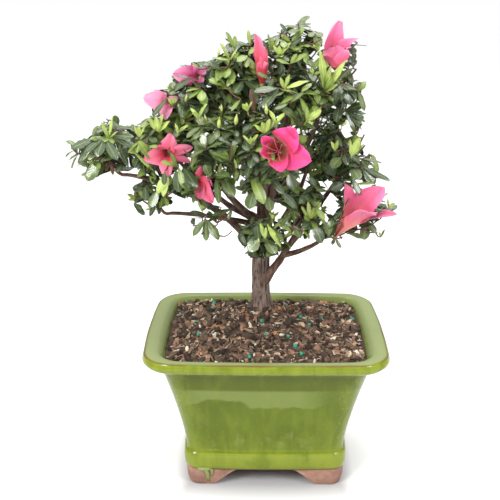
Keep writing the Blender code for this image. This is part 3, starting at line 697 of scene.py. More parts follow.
@dataclass(frozen=True)
class PaperFinish:
    """The floor's pale paper, with a painted shadow round where the pot's feet stand."""

    # near is the grey of the painted shadow at the feet; far is the paper's own pale colour.
    near: Colour = (0.42, 0.42, 0.42)
    far: Colour = (0.84, 0.84, 0.84)
    middle: Place = (0.024, -0.023, 0.0)
    half: Place = (0.066, 0.050, 0.0)
    narrowing: Place = (2.2, 1.0, 0.0)
    reach: tuple[float, float] = (0.000, 0.030)

    def paint(self, tree: Tree) -> dict:
        """Lay the painted shadow by the distance from the rectangle under the feet.

        Args:
            tree: The material's node tree.

        Returns:
            The sockets for the shader, by input name.
        """
        place = put(tree, "TexCoord").outputs["Object"]
        steps = (("SUBTRACT", self.middle), ("ABSOLUTE", None), ("SUBTRACT", self.half),
                 ("MAXIMUM", (0.0, 0.0, 0.0)), ("MULTIPLY", self.narrowing))
        for operation, operand in steps:
            inputs = {0: place} if operand is None else {0: place, 1: operand}
            place = put(tree, "VectorMath", inputs, operation=operation).outputs["Vector"]
        away = put(tree, "VectorMath", {0: place}, operation="LENGTH").outputs["Value"]
        # Painted shadow: grey at the feet, fading to the pale paper within a few centimetres.
        return {"Base Color": blend(tree, span(tree, away, *self.reach), self.near, self.far)}

    def build(self) -> Material:
        """Return the paper as a material."""
        return finish_material("floor_pale_painted_shadow", self.paint, Roughness=0.95, Specular_IOR_Level=0.1)


# Mesh building


class MeshPile:
    """Gathers many small shapes and joins them into one piece of the scene."""

    def __init__(self, name: str) -> None:
        """Start an empty pile.

        Args:
            name: The name of its piece.
        """
        self.name = name
        self.places: list[np.ndarray] = []
        self.marks: list[np.ndarray] = []
        self.faces: list[list[int]] = []
        self.slots: list[int] = []
        self.total = 0

    def add(self, places: np.ndarray, faces: Sequence[np.ndarray], slots: Sequence[int],
            mark: np.ndarray) -> None:
        """Add one shape.

        Args:
            places: Its vertices in metres, one row each.
            faces: Arrays of faces, all of one side count in each array.
            slots: The material slot of each of those arrays.
            mark: Three values for each vertex.
        """
        self.places.append(places)
        self.marks.append(mark)
        for group, slot in zip(faces, slots):
            self.faces.extend((group + self.total).tolist())
            self.slots.extend([slot] * len(group))
        self.total += len(places)

    def add_rings(self, rings: int, places: np.ndarray, mark: np.ndarray | None = None,
                  slot: int = 0) -> None:
        """Add one closed body of rings.

        Args:
            rings: How many rings it has.
            places: Its vertices in metres, ring by ring.
            mark: Three values for each vertex, or nothing where all are 0.
            slot: Its material slot.
        """
        faces = closed_rows(rings, len(places) // rings)
        self.add(places, faces, [slot] * 3, np.zeros_like(places) if mark is None else mark)

    def piece(self, finishes: Sequence[Material], slot: str, nodes: Sequence[str],
              sharp: float = 60.0) -> bpy.types.Object:
        """Join the pile into one object that rides on the plant's body.

        Args:
            finishes: The materials, in the order of the slots.
            slot: The record's material slot; not used.
            nodes: The nodes that the piece stands for.
            sharp: The angle in degrees past which an edge is sharp.

        Returns:
            The object.
        """
        mesh = bpy.data.meshes.new(self.name)
        mesh.from_pydata(np.concatenate(self.places).tolist(), [], self.faces)
        for finish in finishes:
            mesh.materials.append(finish)
        mesh.polygons.foreach_set("material_index", np.array(self.slots, np.int32))
        written = mesh.attributes.new(MARK, "FLOAT_VECTOR", "POINT")
        written.data.foreach_set("vector", np.concatenate(self.marks).astype(np.float32).ravel())
        mesh.shade_smooth()
        mesh.set_sharp_from_angle(angle=math.radians(sharp))
        mesh.update()
        made = bpy.data.objects.new(self.name, mesh)
        bpy.context.scene.collection.objects.link(made)
        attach(made, BODY)
        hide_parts(*nodes)
        triangles = sum(len(face) - 2 for face in self.faces)
        LOG.info("%s: %d triangles", self.name, triangles)
        return made


def in_metres(sizes: Sequence[float]) -> list[float]:
    """Turn sizes in millimetres into metres."""
    return [size * MM for size in sizes]


def square_to(vector: Vector, axis: Vector) -> Vector:
    """Return the direction of a vector once its run along an axis is taken off."""
    return (vector - axis * vector.dot(axis)).normalized()


def ray_round(axis: Vector, spin: float) -> Vector:
    """Work out a ray that stands square to an axis.

    Args:
        axis: The axis, of length 1.
        spin: The ray's angle round it.

    Returns:
        The ray.
    """
    across = axis.orthogonal().normalized()
    return across * math.cos(spin) + across.cross(axis) * math.sin(spin)


def closed_rows(rows: int, across: int) -> list[np.ndarray]:
    """List the faces that join rings of vertices into a tube.

    Args:
        rows: How many rings.
        across: How many vertices in a ring.

    Returns:
        One array of quads, and the two end faces in arrays of their own.
    """
    quads = []
    for row in range(rows - 1):
        base = row * across
        for k in range(across):
            nxt = (k + 1) % across
            quads.append((base + k, base + nxt, base + across + nxt, base + across + k))
    first = [tuple(reversed(range(across)))]
    last = [tuple(range((rows - 1) * across, rows * across))]
    return [np.array(quads), np.array(first), np.array(last)]


def frames_along(points: Sequence[Vector]) -> list[tuple[Vector, Vector, Vector]]:
    """Carry a frame along a path, turned as little as possible.

    Args:
        points: The path.

    Returns:
        A tangent, a normal and a side at each point.
    """
    frames = []
    normal = None
    last = len(points) - 1
    for i in range(len(points)):
        tangent = (points[min(i + 1, last)] - points[max(i - 1, 0)]).normalized()
        if normal is None:
            seed = Vector((1, 0, 0)) if abs(tangent.x) < 0.8 else Vector((0, 1, 0))
            normal = tangent.cross(seed).normalized()
        else:
            normal = square_to(normal, tangent)
        frames.append((tangent, normal, tangent.cross(normal)))
    return frames


def smooth_path(points: Sequence[Vector], radii: Sequence[float], spacing: float) -> tuple[list, list, list]:
    """Run a smooth curve through the points of a limb.

    Args:
        points: The limb's points.
        radii: Its radius at each.
        spacing: The distance between the new points, in metres.

    Returns:
        The new points, their radii, and their distance from the limb's start.
    """
    path, sizes, runs = [points[0]], [radii[0]], [0.0]
    for i in range(len(points) - 1):
        before = points[max(i - 1, 0)]
        after = points[min(i + 2, len(points) - 1)]
        a, b = points[i], points[i + 1]
        steps = max(1, math.ceil((b - a).length / spacing))
        for step in range(1, steps + 1):
            t = step / steps
            pull_a = (b - before) / 2
            pull_b = (after - a) / 2
            point = (a * (2 * t ** 3 - 3 * t ** 2 + 1) + pull_a * (t ** 3 - 2 * t ** 2 + t)
                     + b * (3 * t ** 2 - 2 * t ** 3) + pull_b * (t ** 3 - t ** 2))
            runs.append(runs[-1] + (point - path[-1]).length)
            path.append(point)
            sizes.append(radii[i] + (radii[i + 1] - radii[i]) * t)
    return path, sizes, runs


def add_tube(pile: MeshPile, path: Sequence[Vector], radii: Sequence[float], sides: int,
             slot: int = 0, relief: Callable | None = None) -> None:
    """Add a closed tube to a pile.

    Args:
        pile: The pile.
        path: The tube's centre line.
        radii: Its radius at each point of the line.
        sides: How many sides it has.
        slot: Its material slot.
        relief: A function of ring number and angle that gives how far the surface stands
            out, in metres, and its mark from 0 to 1.
    """
    places, values = [], []
    for i, (point, (_, normal, side)) in enumerate(zip(path, frames_along(path))):
        for k in range(sides):
            angle = 2 * math.pi * k / sides
            out, mark = relief(i, angle) if relief else (0.0, 0.5)
            ray = normal * math.cos(angle) + side * math.sin(angle)
            places.append(point + ray * (radii[i] + out))
            values.append((mark, i / len(path), angle))
    pile.add_rings(len(path), np.array(places), np.array(values), slot)


# The plant's plan


@dataclass(frozen=True)
class Bough:
    """One limb: its node, its parent, where it leaves that, its tip, its bend and its radii."""

    name: str
    parent: str
    leaves_at: float
    tip: Place
    bend: Place
    base_radius: float
    tip_radius: float


class Tint(Enum):
    """The colours that petals come in."""

    HOT = "petal_hot_pink"
    SALMON = "petal_salmon"
    SOFT = "petal_soft_pink"
    PALE = "petal_pale_pink"
    MAGENTA = "petal_magenta"
    ROSE = "petal_rose"
    RED = "petal_red"


# Each row: throat colour, which is also the colour of the painted shade, lobe and rim colours
PETAL_TINTS = {
    Tint.HOT: ((0.36, 0.040, 0.016), (0.55, 0.016, 0.120), (0.72, 0.070, 0.280)),
    Tint.SALMON: ((0.68, 0.200, 0.160), (0.58, 0.072, 0.180), (0.72, 0.170, 0.330)),
    Tint.SOFT: ((0.58, 0.080, 0.100), (0.68, 0.110, 0.250), (0.76, 0.230, 0.400)),
    Tint.PALE: ((0.60, 0.120, 0.200), (0.70, 0.210, 0.360), (0.76, 0.350, 0.490)),
    Tint.MAGENTA: ((0.34, 0.025, 0.085), (0.42, 0.060, 0.180), (0.62, 0.230, 0.370)),
    Tint.ROSE: ((0.42, 0.014, 0.030), (0.55, 0.070, 0.130), (0.72, 0.230, 0.350)),
    Tint.RED: ((0.46, 0.018, 0.022), (0.56, 0.050, 0.100), (0.72, 0.170, 0.310)),
}


@dataclass(frozen=True)
class Petal:
    """One petal: its tip and width, how it hollows, rolls in and leans out, and its side."""

    tip: Place
    width: float
    cup: float = 0.18
    roll: float = 0.0
    push: float = 0.45
    side: Place = (0.0, 0.0, 0.0)


@dataclass(frozen=True)
class Bloom:
    """One flower: its calyx, where its tube opens and how wide, its tint and its petals."""

    calyx: Place
    throat: Place
    mouth: float
    tint: Tint
    petals: tuple[Petal, ...]
    stamens: bool = False


@dataclass(frozen=True)
class Mass:
    """One mass of foliage: its node, the limb that carries it, its space, its twigs and blooms."""

    name: str
    carrier: str
    centre: Place
    radii: Place
    twigs: int
    blooms: tuple = ()

    def middle(self) -> Vector:
        """Return the centre of the mass in metres."""
        return Vector(self.centre) * MM

    def weight(self) -> float:
        """Return how strongly the mass claims space against its neighbours."""
        return (sum(self.radii) / 3 * MM) ** 2


# Each row: node, parent, share of the parent where it leaves, tip, bend, radii
BOUGHS = (
    Bough("bough_leader_left", "trunk", 0.97, (7, 6, 326), (3, 10, 0), 4.8, 1.8),
    Bough("bough_leader_right", "trunk", 0.93, (43, 12, 334), (3, 8, -4), 4.6, 1.8),
    Bough("bough_right", "trunk", 0.32, (84, -10, 259), (-8, -2, -12), 4.2, 1.7),
    Bough("bough_right_low", "bough_right", 0.42, (76, -12, 210), (2, 0, -3), 2.6, 1.5),
    Bough("bough_left_long", "trunk", 0.66, (-92, -15, 264), (4, -3, 13), 3.6, 1.6),
    Bough("bough_left_low", "trunk", 0.86, (-58, -3, 227), (4, 6, 1), 3.0, 1.5),
    Bough("bough_left_shoulder", "bough_left_long", 0.60, (-65, -17, 268), (-4, 0, -3), 2.0, 1.4),
    Bough("bough_left_up", "trunk", 0.97, (-36, -5, 302), (-6, -4, -9), 3.6, 1.6),
    Bough("bough_crown_left", "bough_left_up", 0.40, (-16, -33, 273), (2, -3, -3), 2.4, 1.4),
    Bough("bough_crown_front", "bough_leader_left", 0.16, (25, -37, 272), (0, -8, -4), 2.8, 1.5),
    Bough("bough_crown_mid", "bough_leader_right", 0.62, (43, -17, 314), (0, -2, -3), 2.0, 1.4),
    Bough("bough_shoulder_right", "bough_leader_right", 0.40, (68, 0, 313), (5, 0, -7), 2.6, 1.5),
    Bough("bough_inner_right", "bough_right", 0.46, (53, -20, 224), (0, -3, 0), 2.0, 1.4),
    Bough("bough_left_inner", "bough_left_long", 0.38, (-30, -22, 247), (0, -4, 0), 1.9, 1.3),
    Bough("bough_left_hanging", "bough_left_long", 0.34, (-23, -12, 224), (0, -3, 1), 1.8, 1.2),
    Bough("bough_back_left", "trunk", 0.90, (-52, 35, 262), (-2, 4, -6), 3.2, 1.5),
    Bough("bough_back_mid", "bough_leader_left", 0.26, (6, 50, 271), (0, 2, -6), 2.6, 1.5),
    Bough("bough_back_right", "trunk", 0.74, (60, 37, 253), (4, 4, -6), 3.2, 1.5),
    Bough("bough_back_upper", "bough_leader_left", 0.56, (-14, 34, 313), (-2, 2, -4), 2.2, 1.4),
    Bough("bough_back_top", "bough_leader_right", 0.58, (42, 38, 313), (2, 4, -3), 2.2, 1.4),
    Bough("bough_back_low", "trunk", 0.60, (24, 46, 220), (0, 4, -3), 2.8, 1.5),
)

# The blooms, with their petals in order round the tube
FRONT_BLOOM = Bloom((35, -66, 295), (32, -79, 298), 7.5, Tint.HOT, (
    Petal((45, -86, 316), 22, 0.20, 0.0, 0.60), Petal((20, -86, 310), 12, 0.15, 0.3, 0.60),
    Petal((19, -89, 299), 14, 0.20, 0.3, 0.60), Petal((35, -93, 286), 17, 0.18, 0.3, 0.50),
    Petal((56, -87, 293), 23, 0.18, 0.0, 0.45)), True)
SIDE_BLOOM = Bloom((81, -29, 213), (90, -38, 230), 6.5, Tint.SALMON, (
    Petal((116, -46, 262), 23, 0.18, 0.0, 0.45), Petal((131, -42, 239), 12, 0.12, 0.3, 0.30),
    Petal((88, -38, 263), 15, 0.20, 0.3, 0.50, (-0.7, 0.7, 0)), Petal((106, -22, 252), 20, 0.20, 0.0, 0.50),
    Petal((110, -60, 248), 22, 0.18, 0.0, 0.50, (0.5, -1, 0))))
TOP_BLOOM = Bloom((81, -9, 348), (80, -11, 355), 7.0, Tint.SOFT, (
    Petal((82, -8, 388), 17, 0.15, 0.0, 0.60, (-0.4, 1, 0)),
    Petal((96, -10, 376), 14, 0.15, 0.0, 0.70, (0.6, 1, 0)),
    Petal((79, -20, 369), 22, 0.30, 0.0, 0.80, (-0.2, -1, 0)),
    Petal((74, 0, 374), 13, 0.20, 0.0, 0.70, (-1, 0.8, 0)),
    Petal((88, -17, 369), 17, 0.25, 0.0, 0.80, (0.8, -0.9, 0))))
APEX_BLOOM = Bloom((20, -22, 338), (20, -24, 349), 4.5, Tint.RED, (
    Petal((15, -26, 379), 13, 0.25, 0.4, 0.60, (-0.6, -0.8, 0)),
    Petal((22, -28, 369), 11, 0.25, 0.4, 0.60, (0.7, -0.7, 0)),
    Petal((14, -24, 366), 11, 0.30, 0.4, 0.60, (-0.6, 1, 0)), Petal((25, -31, 356), 9, 0.30, 0.9, 0.70),
    Petal((17, -31, 357), 10, 0.30, 0.9, 0.70, (-0.7, -1, 0))))
UPPER_LEFT_BLOOM = Bloom((-29, -8, 343), (-32, -14, 345), 3.0, Tint.MAGENTA, (
    Petal((-52, -16, 348), 16, 0.15, 0.0, 0.20), Petal((-38, -12, 354), 12, 0.20, 0.0, 0.30),
    Petal((-48, -20, 337), 8, 0.20, 0.6, 0.20), Petal((-25, -8, 351), 9, 0.20, 0.0, 0.40),
    Petal((-27, -16, 341), 8, 0.20, 0.3, 0.40)))
LEFT_PALE_BLOOM = Bloom((-54, -14, 325), (-56, -20, 325), 3.0, Tint.PALE, (
    Petal((-76, -22, 329), 17, 0.12, 0.0, 0.20), Petal((-66, -14, 334), 10, 0.20, 0.0, 0.30),
    Petal((-59, -26, 312), 11, 0.12, 0.0, 0.30), Petal((-48, -18, 329), 8, 0.20, 0.0, 0.30),
    Petal((-67, -18, 319), 12, 0.15, 0.0, 0.30)))
LEFT_RUFFLED_BLOOM = Bloom((-54, -30, 288), (-56, -37, 287), 3.5, Tint.ROSE, (
    Petal((-74, -44, 283), 15, 0.10, 0.0, 0.20), Petal((-52, -39, 304), 16, 0.12, 0.3, 0.30),
    Petal((-35, -40, 293), 12, 0.20, 0.5, 0.20), Petal((-56, -48, 271), 15, 0.10, 0.0, 0.20),
    Petal((-37, -38, 279), 10, 0.30, 0.8, 0.20)))
INNER_LEFT_BLOOM = Bloom((-33, -36, 268), (-32, -42, 267), 3.0, Tint.RED, (
    Petal((-19, -46, 248), 13, 0.10, 0.0, 0.20), Petal((-20, -42, 263), 11, 0.15, 0.0, 0.30),
    Petal((-29, -46, 251), 11, 0.12, 0.3, 0.30), Petal((-41, -40, 267), 8, 0.20, 0.5, 0.30),
    Petal((-28, -38, 277), 8, 0.20, 0.3, 0.30)))

# Each row: node, carrier, centre, half sizes, number of twigs, blooms
MASSES = (
    Mass("foliage_far_left", "bough_left_long", (-109.5, -15, 286), (28, 27, 27), 4),
    Mass("foliage_left_shoulder", "bough_left_shoulder", (-64, -18, 289), (25, 28, 23), 4,
         (LEFT_RUFFLED_BLOOM,)),
    Mass("foliage_left_low", "bough_left_low", (-75, -6, 243), (20, 20, 15), 4),
    Mass("foliage_left_upper", "bough_left_up", (-48, -4, 322), (27, 27, 26), 4,
         (LEFT_PALE_BLOOM, UPPER_LEFT_BLOOM)),
    Mass("foliage_crown_left", "bough_crown_left", (-14, -47, 295), (25, 25, 26), 4),
    Mass("foliage_crown_front", "bough_crown_front", (28, -57, 294), (26, 26, 24), 4, (FRONT_BLOOM,)),
    Mass("foliage_apex_left", "bough_leader_left", (1, -3, 349), (25, 27, 27), 4, (APEX_BLOOM,)),
    Mass("foliage_apex", "bough_leader_right", (44, 4, 362), (25, 25, 28), 4),
    Mass("foliage_crown_mid", "bough_crown_mid", (45, -40, 329), (24, 22, 20), 4),
    Mass("foliage_shoulder_right", "bough_shoulder_right", (84, -5, 345), (26, 28, 33), 4, (TOP_BLOOM,)),
    Mass("foliage_right_mid", "bough_right", (100, 0, 285), (29, 28, 25), 4),
    Mass("foliage_right_low", "bough_right_low", (99, -22, 233), (32, 28, 24), 4, (SIDE_BLOOM,)),
    Mass("foliage_inner_right", "bough_inner_right", (55, -32, 243), (21, 20, 26), 4),
    Mass("foliage_left_inner", "bough_left_inner", (-35, -32, 261), (22, 21, 18), 4, (INNER_LEFT_BLOOM,)),
    Mass("foliage_left_hanging", "bough_left_hanging", (-27, -18, 217), (17, 17, 14), 3),
    Mass("foliage_trunk_spray", "trunk", (21, -24, 209), (22, 19, 18), 4),
    Mass("foliage_back_left", "bough_back_left", (-71, 45, 282), (33, 31, 30), 4),
    Mass("foliage_back_mid", "bough_back_mid", (3, 68, 291), (33, 32, 30), 4),
    Mass("foliage_back_right", "bough_back_right", (77, 45, 275), (32, 31, 30), 4),
    Mass("foliage_back_upper", "bough_back_upper", (-23, 45, 333), (30, 28, 26), 4),
    Mass("foliage_back_top", "bough_back_top", (43, 49, 334), (28, 28, 27), 4),
    Mass("foliage_back_low", "bough_back_low", (24, 68, 235), (27, 25, 21), 4),
)


class Leafing(Enum):
    """The ages and tones that leaves come in."""

    DARK = "dark"
    MID = "mid"
    LIGHT = "light"
    NEW = "new"
    OLD = "old"


DARK, MID, LIGHT, NEW, OLD = Leafing

# Each row: upper side, rib, roughness, gloss
LEAF_TINTS = {
    DARK: ((0.072, 0.106, 0.044), (0.250, 0.325, 0.145), 0.25, 0.32),
    MID: ((0.118, 0.168, 0.051), (0.330, 0.405, 0.155), 0.27, 0.30),
    LIGHT: ((0.230, 0.325, 0.062), (0.450, 0.550, 0.190), 0.30, 0.22),
    NEW: ((0.420, 0.540, 0.110), (0.660, 0.740, 0.320), 0.40, 0.15),
    OLD: ((0.125, 0.058, 0.034), (0.240, 0.130, 0.070), 0.50, 0.10),
}


@dataclass(frozen=True)
class Spray:
    """A spray that stands out in the photograph.

    Its node is a column and a row there, its depth is the node's Y in mm, and each tip is a
    column, a row, how much nearer it is than the node in mm, and its leaf's width in mm.
    """

    node: tuple[float, float]
    depth: float
    kind: Leafing
    tips: tuple[tuple[float, float, float, float], ...]


# Far left and the left shoulder
LEFT_SPRAYS = (
    Spray((109, 138), -34, NEW, ((101, 122, 4, 4), (113, 116, 4, 4.5), (118, 131, 2, 3), (104, 131, 6, 4))),
    Spray((111, 127), -30, DARK, ((95, 133, 8, 4.5), (130, 129, 6, 4.5))),
    Spray((95, 139), -34, DARK, ((71, 149, 6, 11), (78, 164, 6, 8))),
    Spray((104, 138), -38, DARK, ((84, 153, 8, 8), (97, 157, 10, 10), (117, 160, 8, 10))),
    Spray((104, 142), -35, MID, ((88, 160, 9, 8.5), (111, 158, 5, 7))),
    Spray((113, 136), -33, DARK, ((134, 137, 6, 8), (131, 147, 6, 7), (128, 166, 2, 8))),
    Spray((101, 157), -34, MID, ((87, 181, 5, 13),)),
    Spray((111, 161), -30, OLD, ((105, 172, 2, 4), (113, 175, 3, 4), (118, 168, 3, 3.5))),
    Spray((139, 137), -34, NEW, ((134, 126, 2, 3.5), (139, 125, 2, 3.5), (145, 127, 2, 3.5))),
    Spray((158, 132), -34, NEW, ((149, 118, 3, 6), (156, 116, 4, 6), (163, 114, 3, 6), (170, 121, 3, 7))),
    Spray((152, 161), -40, LIGHT, ((138, 141, 6, 10),)),
    Spray((155, 172), -38, NEW, ((135, 153, 4, 5),)),
    Spray((178, 167), -48, LIGHT, ((161, 162, 6, 6), (170, 153, 6, 7), (185, 189, 4, 8))),
    Spray((176, 170), -48, DARK, ((179, 192, 4, 10.5),)),
    Spray((183, 168), -46, DARK, ((197, 188, 6, 11),)),
    Spray((168, 173), -42, NEW, ((157, 194, 3, 10), (170, 185, 2, 7), (163, 197, 5, 8))),
    Spray((165, 171), -48, DARK, ((164, 185, 3, 5.5),)),
    Spray((159, 190), -30, MID, ((149, 208, 5, 10.5),)),
    Spray((145, 187), -26, DARK, ((146, 201, 4, 7), (135, 192, 3, 4.5))),
    Spray((164, 196), -26, LIGHT, ((160, 208, 3, 5), (168, 206, 3, 5))),
    Spray((137, 199), -8, NEW, ((127, 194, 2, 5), (128, 200, 2, 4.5), (134, 192, 2, 4))),
    Spray((148, 137), -32, DARK, ((156, 129, 4, 5), (157, 142, 4, 7), (143, 146, 5, 6))),
)

# Below the left shoulder, and the hanging spray
LOW_LEFT_SPRAYS = (
    Spray((197, 186), -38, MID, ((193, 203, 3, 5),)),
    Spray((216, 176), -40, MID, ((219, 204, 4, 7),)),
    Spray((221, 172), -46, MID, ((234, 197, 6, 13),)),
    Spray((219, 174), -48, NEW, ((214, 166, 2, 4), (221, 163, 2, 4), (226, 168, 2, 4))),
    Spray((221, 207), -24, DARK, ((207, 209, 4, 7),)),
    Spray((232, 209), -20, MID, ((212, 216, 4, 6.5), (228, 220, 3, 4))),
    Spray((207, 215), -20, DARK, ((190, 212, 3, 6),)),
    Spray((206, 219), -20, MID, ((193, 236, 3, 8.5), (206, 241, 4, 8), (219, 240, 4, 10))),
)

# The top of the crown
TOP_SPRAYS = (
    Spray((298, 22), 0, MID, ((310, 17, 2, 7),)),
    Spray((200, 69), -16, LIGHT, ((192, 63, 2, 5),)),
    Spray((221, 70), -24, DARK, ((210, 63, 3, 8.5),)),
    Spray((235, 50), -14, LIGHT, ((226, 32, 3, 5), (235, 36, 3, 5))),
    Spray((250, 45), -12, NEW, ((248, 30, 2, 4.5),)),
    Spray((230, 60), -22, NEW, ((220, 43, 3, 3.5), (214, 58, 3, 3.5), (237, 49, 4, 4), (226, 51, 6, 4))),
    Spray((250, 46), -14, DARK, ((236, 42, 2, 4.5),)),
    Spray((269, 51), -14, DARK, ((261, 41, 2, 7.5),)),
    Spray((271, 51), -16, LIGHT, ((268, 34, 1, 2.5), (273, 39, 2, 4), (278, 40, 2, 4))),
    Spray((288, 33), -2, DARK, ((280, 24, 2, 6),)),
    Spray((291, 42), -8, LIGHT, ((305, 28, 3, 8.5), (281, 35, 3, 6))),
    Spray((288, 48), -14, DARK, ((302, 38, 3, 6.5),)),
    Spray((290, 64), -30, LIGHT, ((276, 60, 6, 6), (307, 54, 6, 7), (297, 54, 2, 6))),
    Spray((284, 89), -48, NEW, ((280, 77, 3, 4), (290, 74, 3, 5), (309, 81, 4, 8))),
    Spray((241, 99), -32, LIGHT, ((231, 111, 4, 4.5),)),
    Spray((279, 88), -48, DARK, ((254, 92, 6, 9), (262, 108, 6, 9.5))),
    Spray((265, 133), -70, NEW, ((254, 125, 3, 5), (262, 122, 3, 6), (270, 119, 3, 7), (275, 121, 2, 5))),
    Spray((191, 78), -22, DARK, ((176, 76, 3, 4), (175, 90, 4, 6))),
    Spray((167, 99), -26, DARK, ((153, 116, 6, 7),)),
    Spray((250, 89), -34, OLD, ((255, 112, 3, 6),)),
    Spray((270, 79), -32, MID, ((257, 73, 3, 6),)),
    Spray((315, 33), -6, MID, ((308, 36, 3, 7), (323, 36, 3, 7), (320, 46, 6, 9))),
)

# The right side, down to the low spray
RIGHT_SPRAYS = (
    Spray((325, 92), -42, NEW, ((320, 50, 8, 9), (346, 60, 6, 7), (331, 66, 8, 6), (338, 84, 4, 6))),
    Spray((324, 90), -44, LIGHT, ((331, 76, 4, 7), (320, 72, 6, 8))),
    Spray((358, 91), -16, LIGHT, ((366, 82, 2, 7),)),
    Spray((345, 84), -18, DARK, ((364, 103, 4, 8), (350, 105, 4, 10), (359, 80, 2, 2.5))),
    Spray((345, 110), -16, DARK, ((366, 114, 2, 4), (365, 122, 3, 5), (362, 130, 4, 4), (354, 130, 4, 5))),
    Spray((340, 104), -22, DARK, ((318, 106, 6, 8), (336, 122, 4, 9))),
    Spray((335, 151), -22, NEW, ((331, 141, 3, 4), (338, 140, 3, 4.5))),
    Spray((351, 157), -22, NEW, ((350, 139, 3, 4), (360, 137, 3, 8), (364, 144, 3, 4))),
    Spray((341, 157), -24, MID, ((332, 168, 5, 12),)),
    Spray((359, 158), -14, DARK, ((382, 163, 4, 4), (374, 166, 3, 3.5))),
    Spray((362, 167), -16, DARK, ((390, 181, 4, 7), (375, 184, 4, 12), (366, 184, 3, 7))),
    Spray((350, 164), -20, MID, ((360, 180, 6, 11),)),
    Spray((352, 178), -34, DARK, ((360, 195, 5, 7),)),
    Spray((345, 182), -24, DARK, ((331, 190, 6, 11),)),
    Spray((366, 221), -20, MID, ((364, 240, 4, 11), (376, 233, 4, 9), (379, 219, 3, 4.5))),
    Spray((358, 230), -16, DARK, ((343, 229, 4, 10), (350, 220, 3, 7))),
    Spray((381, 237), -12, NEW, ((385, 229, 1, 3), (379, 232, 1, 3))),
    Spray((335, 238), -26, MID, ((332, 245, 2, 4), (341, 248, 2, 4))),
)

# The middle, down to the spray before the trunk
MIDDLE_SPRAYS = (
    Spray((278, 189), -46, DARK, ((297, 209, 6, 10),)),
    Spray((251, 174), -52, LIGHT, ((264, 204, 8, 11.5),)),
    Spray((265, 173), -54, DARK, ((284, 194, 6, 9),)),
    Spray((253, 192), -46, MID, ((249, 209, 5, 12),)),
    Spray((268, 197), -44, MID, ((271, 211, 4, 9),)),
    Spray((288, 172), -52, DARK, ((294, 190, 4, 11),)),
    Spray((310, 220), -36, NEW, ((301, 206, 3, 4.5), (308, 201, 3, 5), (315, 206, 3, 4.5),
          (321, 202, 3, 5))),
    Spray((312, 222), -38, DARK, ((322, 243, 4, 13), (302, 229, 4, 9))),
    Spray((260, 236), -34, MID, ((249, 252, 6, 13),)),
    Spray((264, 238), -34, MID, ((276, 254, 6, 12),)),
    Spray((265, 239), -40, NEW, ((260, 223, 3, 5), (266, 227, 3, 4))),
    Spray((281, 247), -38, NEW, ((267, 225, 3, 6.5),)),
    Spray((283, 238), -32, LIGHT, ((295, 230, 4, 7),)),
    Spray((303, 217), -30, OLD, ((291, 226, 3, 6),)),
    Spray((258, 233), -32, MID, ((243, 232, 4, 7),)),
)
SEEN_SPRAYS = LEFT_SPRAYS + LOW_LEFT_SPRAYS + TOP_SPRAYS + RIGHT_SPRAYS + MIDDLE_SPRAYS

# Where the photograph shows sky between leaves: column, row and radius in pixels
SKY = (
    (127, 157, 3.5), (124, 146, 2), (170, 125, 3), (163, 135, 2.5), (241, 76, 3.5), (213, 90, 2.5),
    (272, 91, 3), (272, 83, 2), (305, 40, 3), (197, 70, 3), (272, 194, 2.5), (278, 181, 2.5),
    (306, 184, 3.5), (282, 203, 3), (279, 212, 7), (321, 185, 3.5), (331, 207, 8), (344, 178, 2.5),
    (345, 133, 4.5), (346, 106, 2), (346, 126, 5), (334, 89, 3), (311, 56, 3), (302, 52, 2),
    (281, 115, 2), (300, 184, 2.5), (205, 196, 3), (131, 181, 4), (220, 228, 3), (236, 222, 6),
    (190, 206, 3), (317, 30, 2), (331, 198, 4), (356, 131, 3), (355, 116, 1.5), (372, 200, 8),
    (385, 172, 3), (354, 213, 4), (296, 240, 4), (288, 214, 3), (98, 116, 5), (125, 118, 7),
    (133, 180, 5), (160, 178, 1), (120, 190, 12), (216, 48, 3), (262, 32, 5), (245, 36, 2), (302, 232, 4),
    (385, 136, 24), (372, 65, 19), (204, 41, 20), (135, 111, 14), (79, 120, 17), (352, 256, 21),
    (272, 28, 9), (106, 183, 11), (389, 223, 10), (309, 262, 20), (162, 82, 9), (377, 96, 14),
    (364, 151, 5), (191, 250, 16), (348, 134, 5), (292, 20, 5), (352, 72, 5), (322, 18, 12),
    (100, 104, 18), (225, 257, 18), (132, 86, 16), (180, 206, 8), (185, 51, 14), (382, 119, 18),
    (359, 133, 4), (235, 221, 4), (240, 36, 5), (80, 168, 4), (140, 203, 4), (210, 244, 6), (147, 111, 6),
    (349, 33, 6), (225, 46, 4), (380, 227, 5), (384, 166, 6), (223, 217, 3), (372, 249, 11),
    (355, 103, 3), (183, 228, 9), (165, 59, 13), (371, 164, 3), (224, 234, 3), (349, 83, 3),
    (157, 75, 15), (206, 230, 14), (222, 228, 6), (128, 176, 5), (174, 196, 4), (66, 150, 5),
)

# Where the photograph shows lime-green shoots and pointed buds, as columns and rows
FRESH_SHOOTS = (
    (232, 45), (283, 62), (278, 125), (278, 238), (224, 168), (205, 214), (196, 118), (300, 128))
POINTED_BUDS = (
    (204, 123), (218, 125), (232, 122), (246, 113), (317, 115), (306, 115), (216, 200), (272, 120))

# Where it shows fertiliser beads on the soil, as columns and rows
BEADS = (
    (186, 302), (181, 313), (196, 322), (262, 328), (286, 313), (300, 322), (305, 325), (322, 323),
    (301, 354), (249, 356), (309, 329), (214, 306), (352, 318))


# Pot


@dataclass(frozen=True)
class ProfilePoint:
    """One level of the bowl's surface, and the glaze on it."""

    half: float
    height: float
    corner: float
    thin: float = 0.0
    bare: float = 0.0
    lip: float = 0.0
    extra_depth: float = 0.0


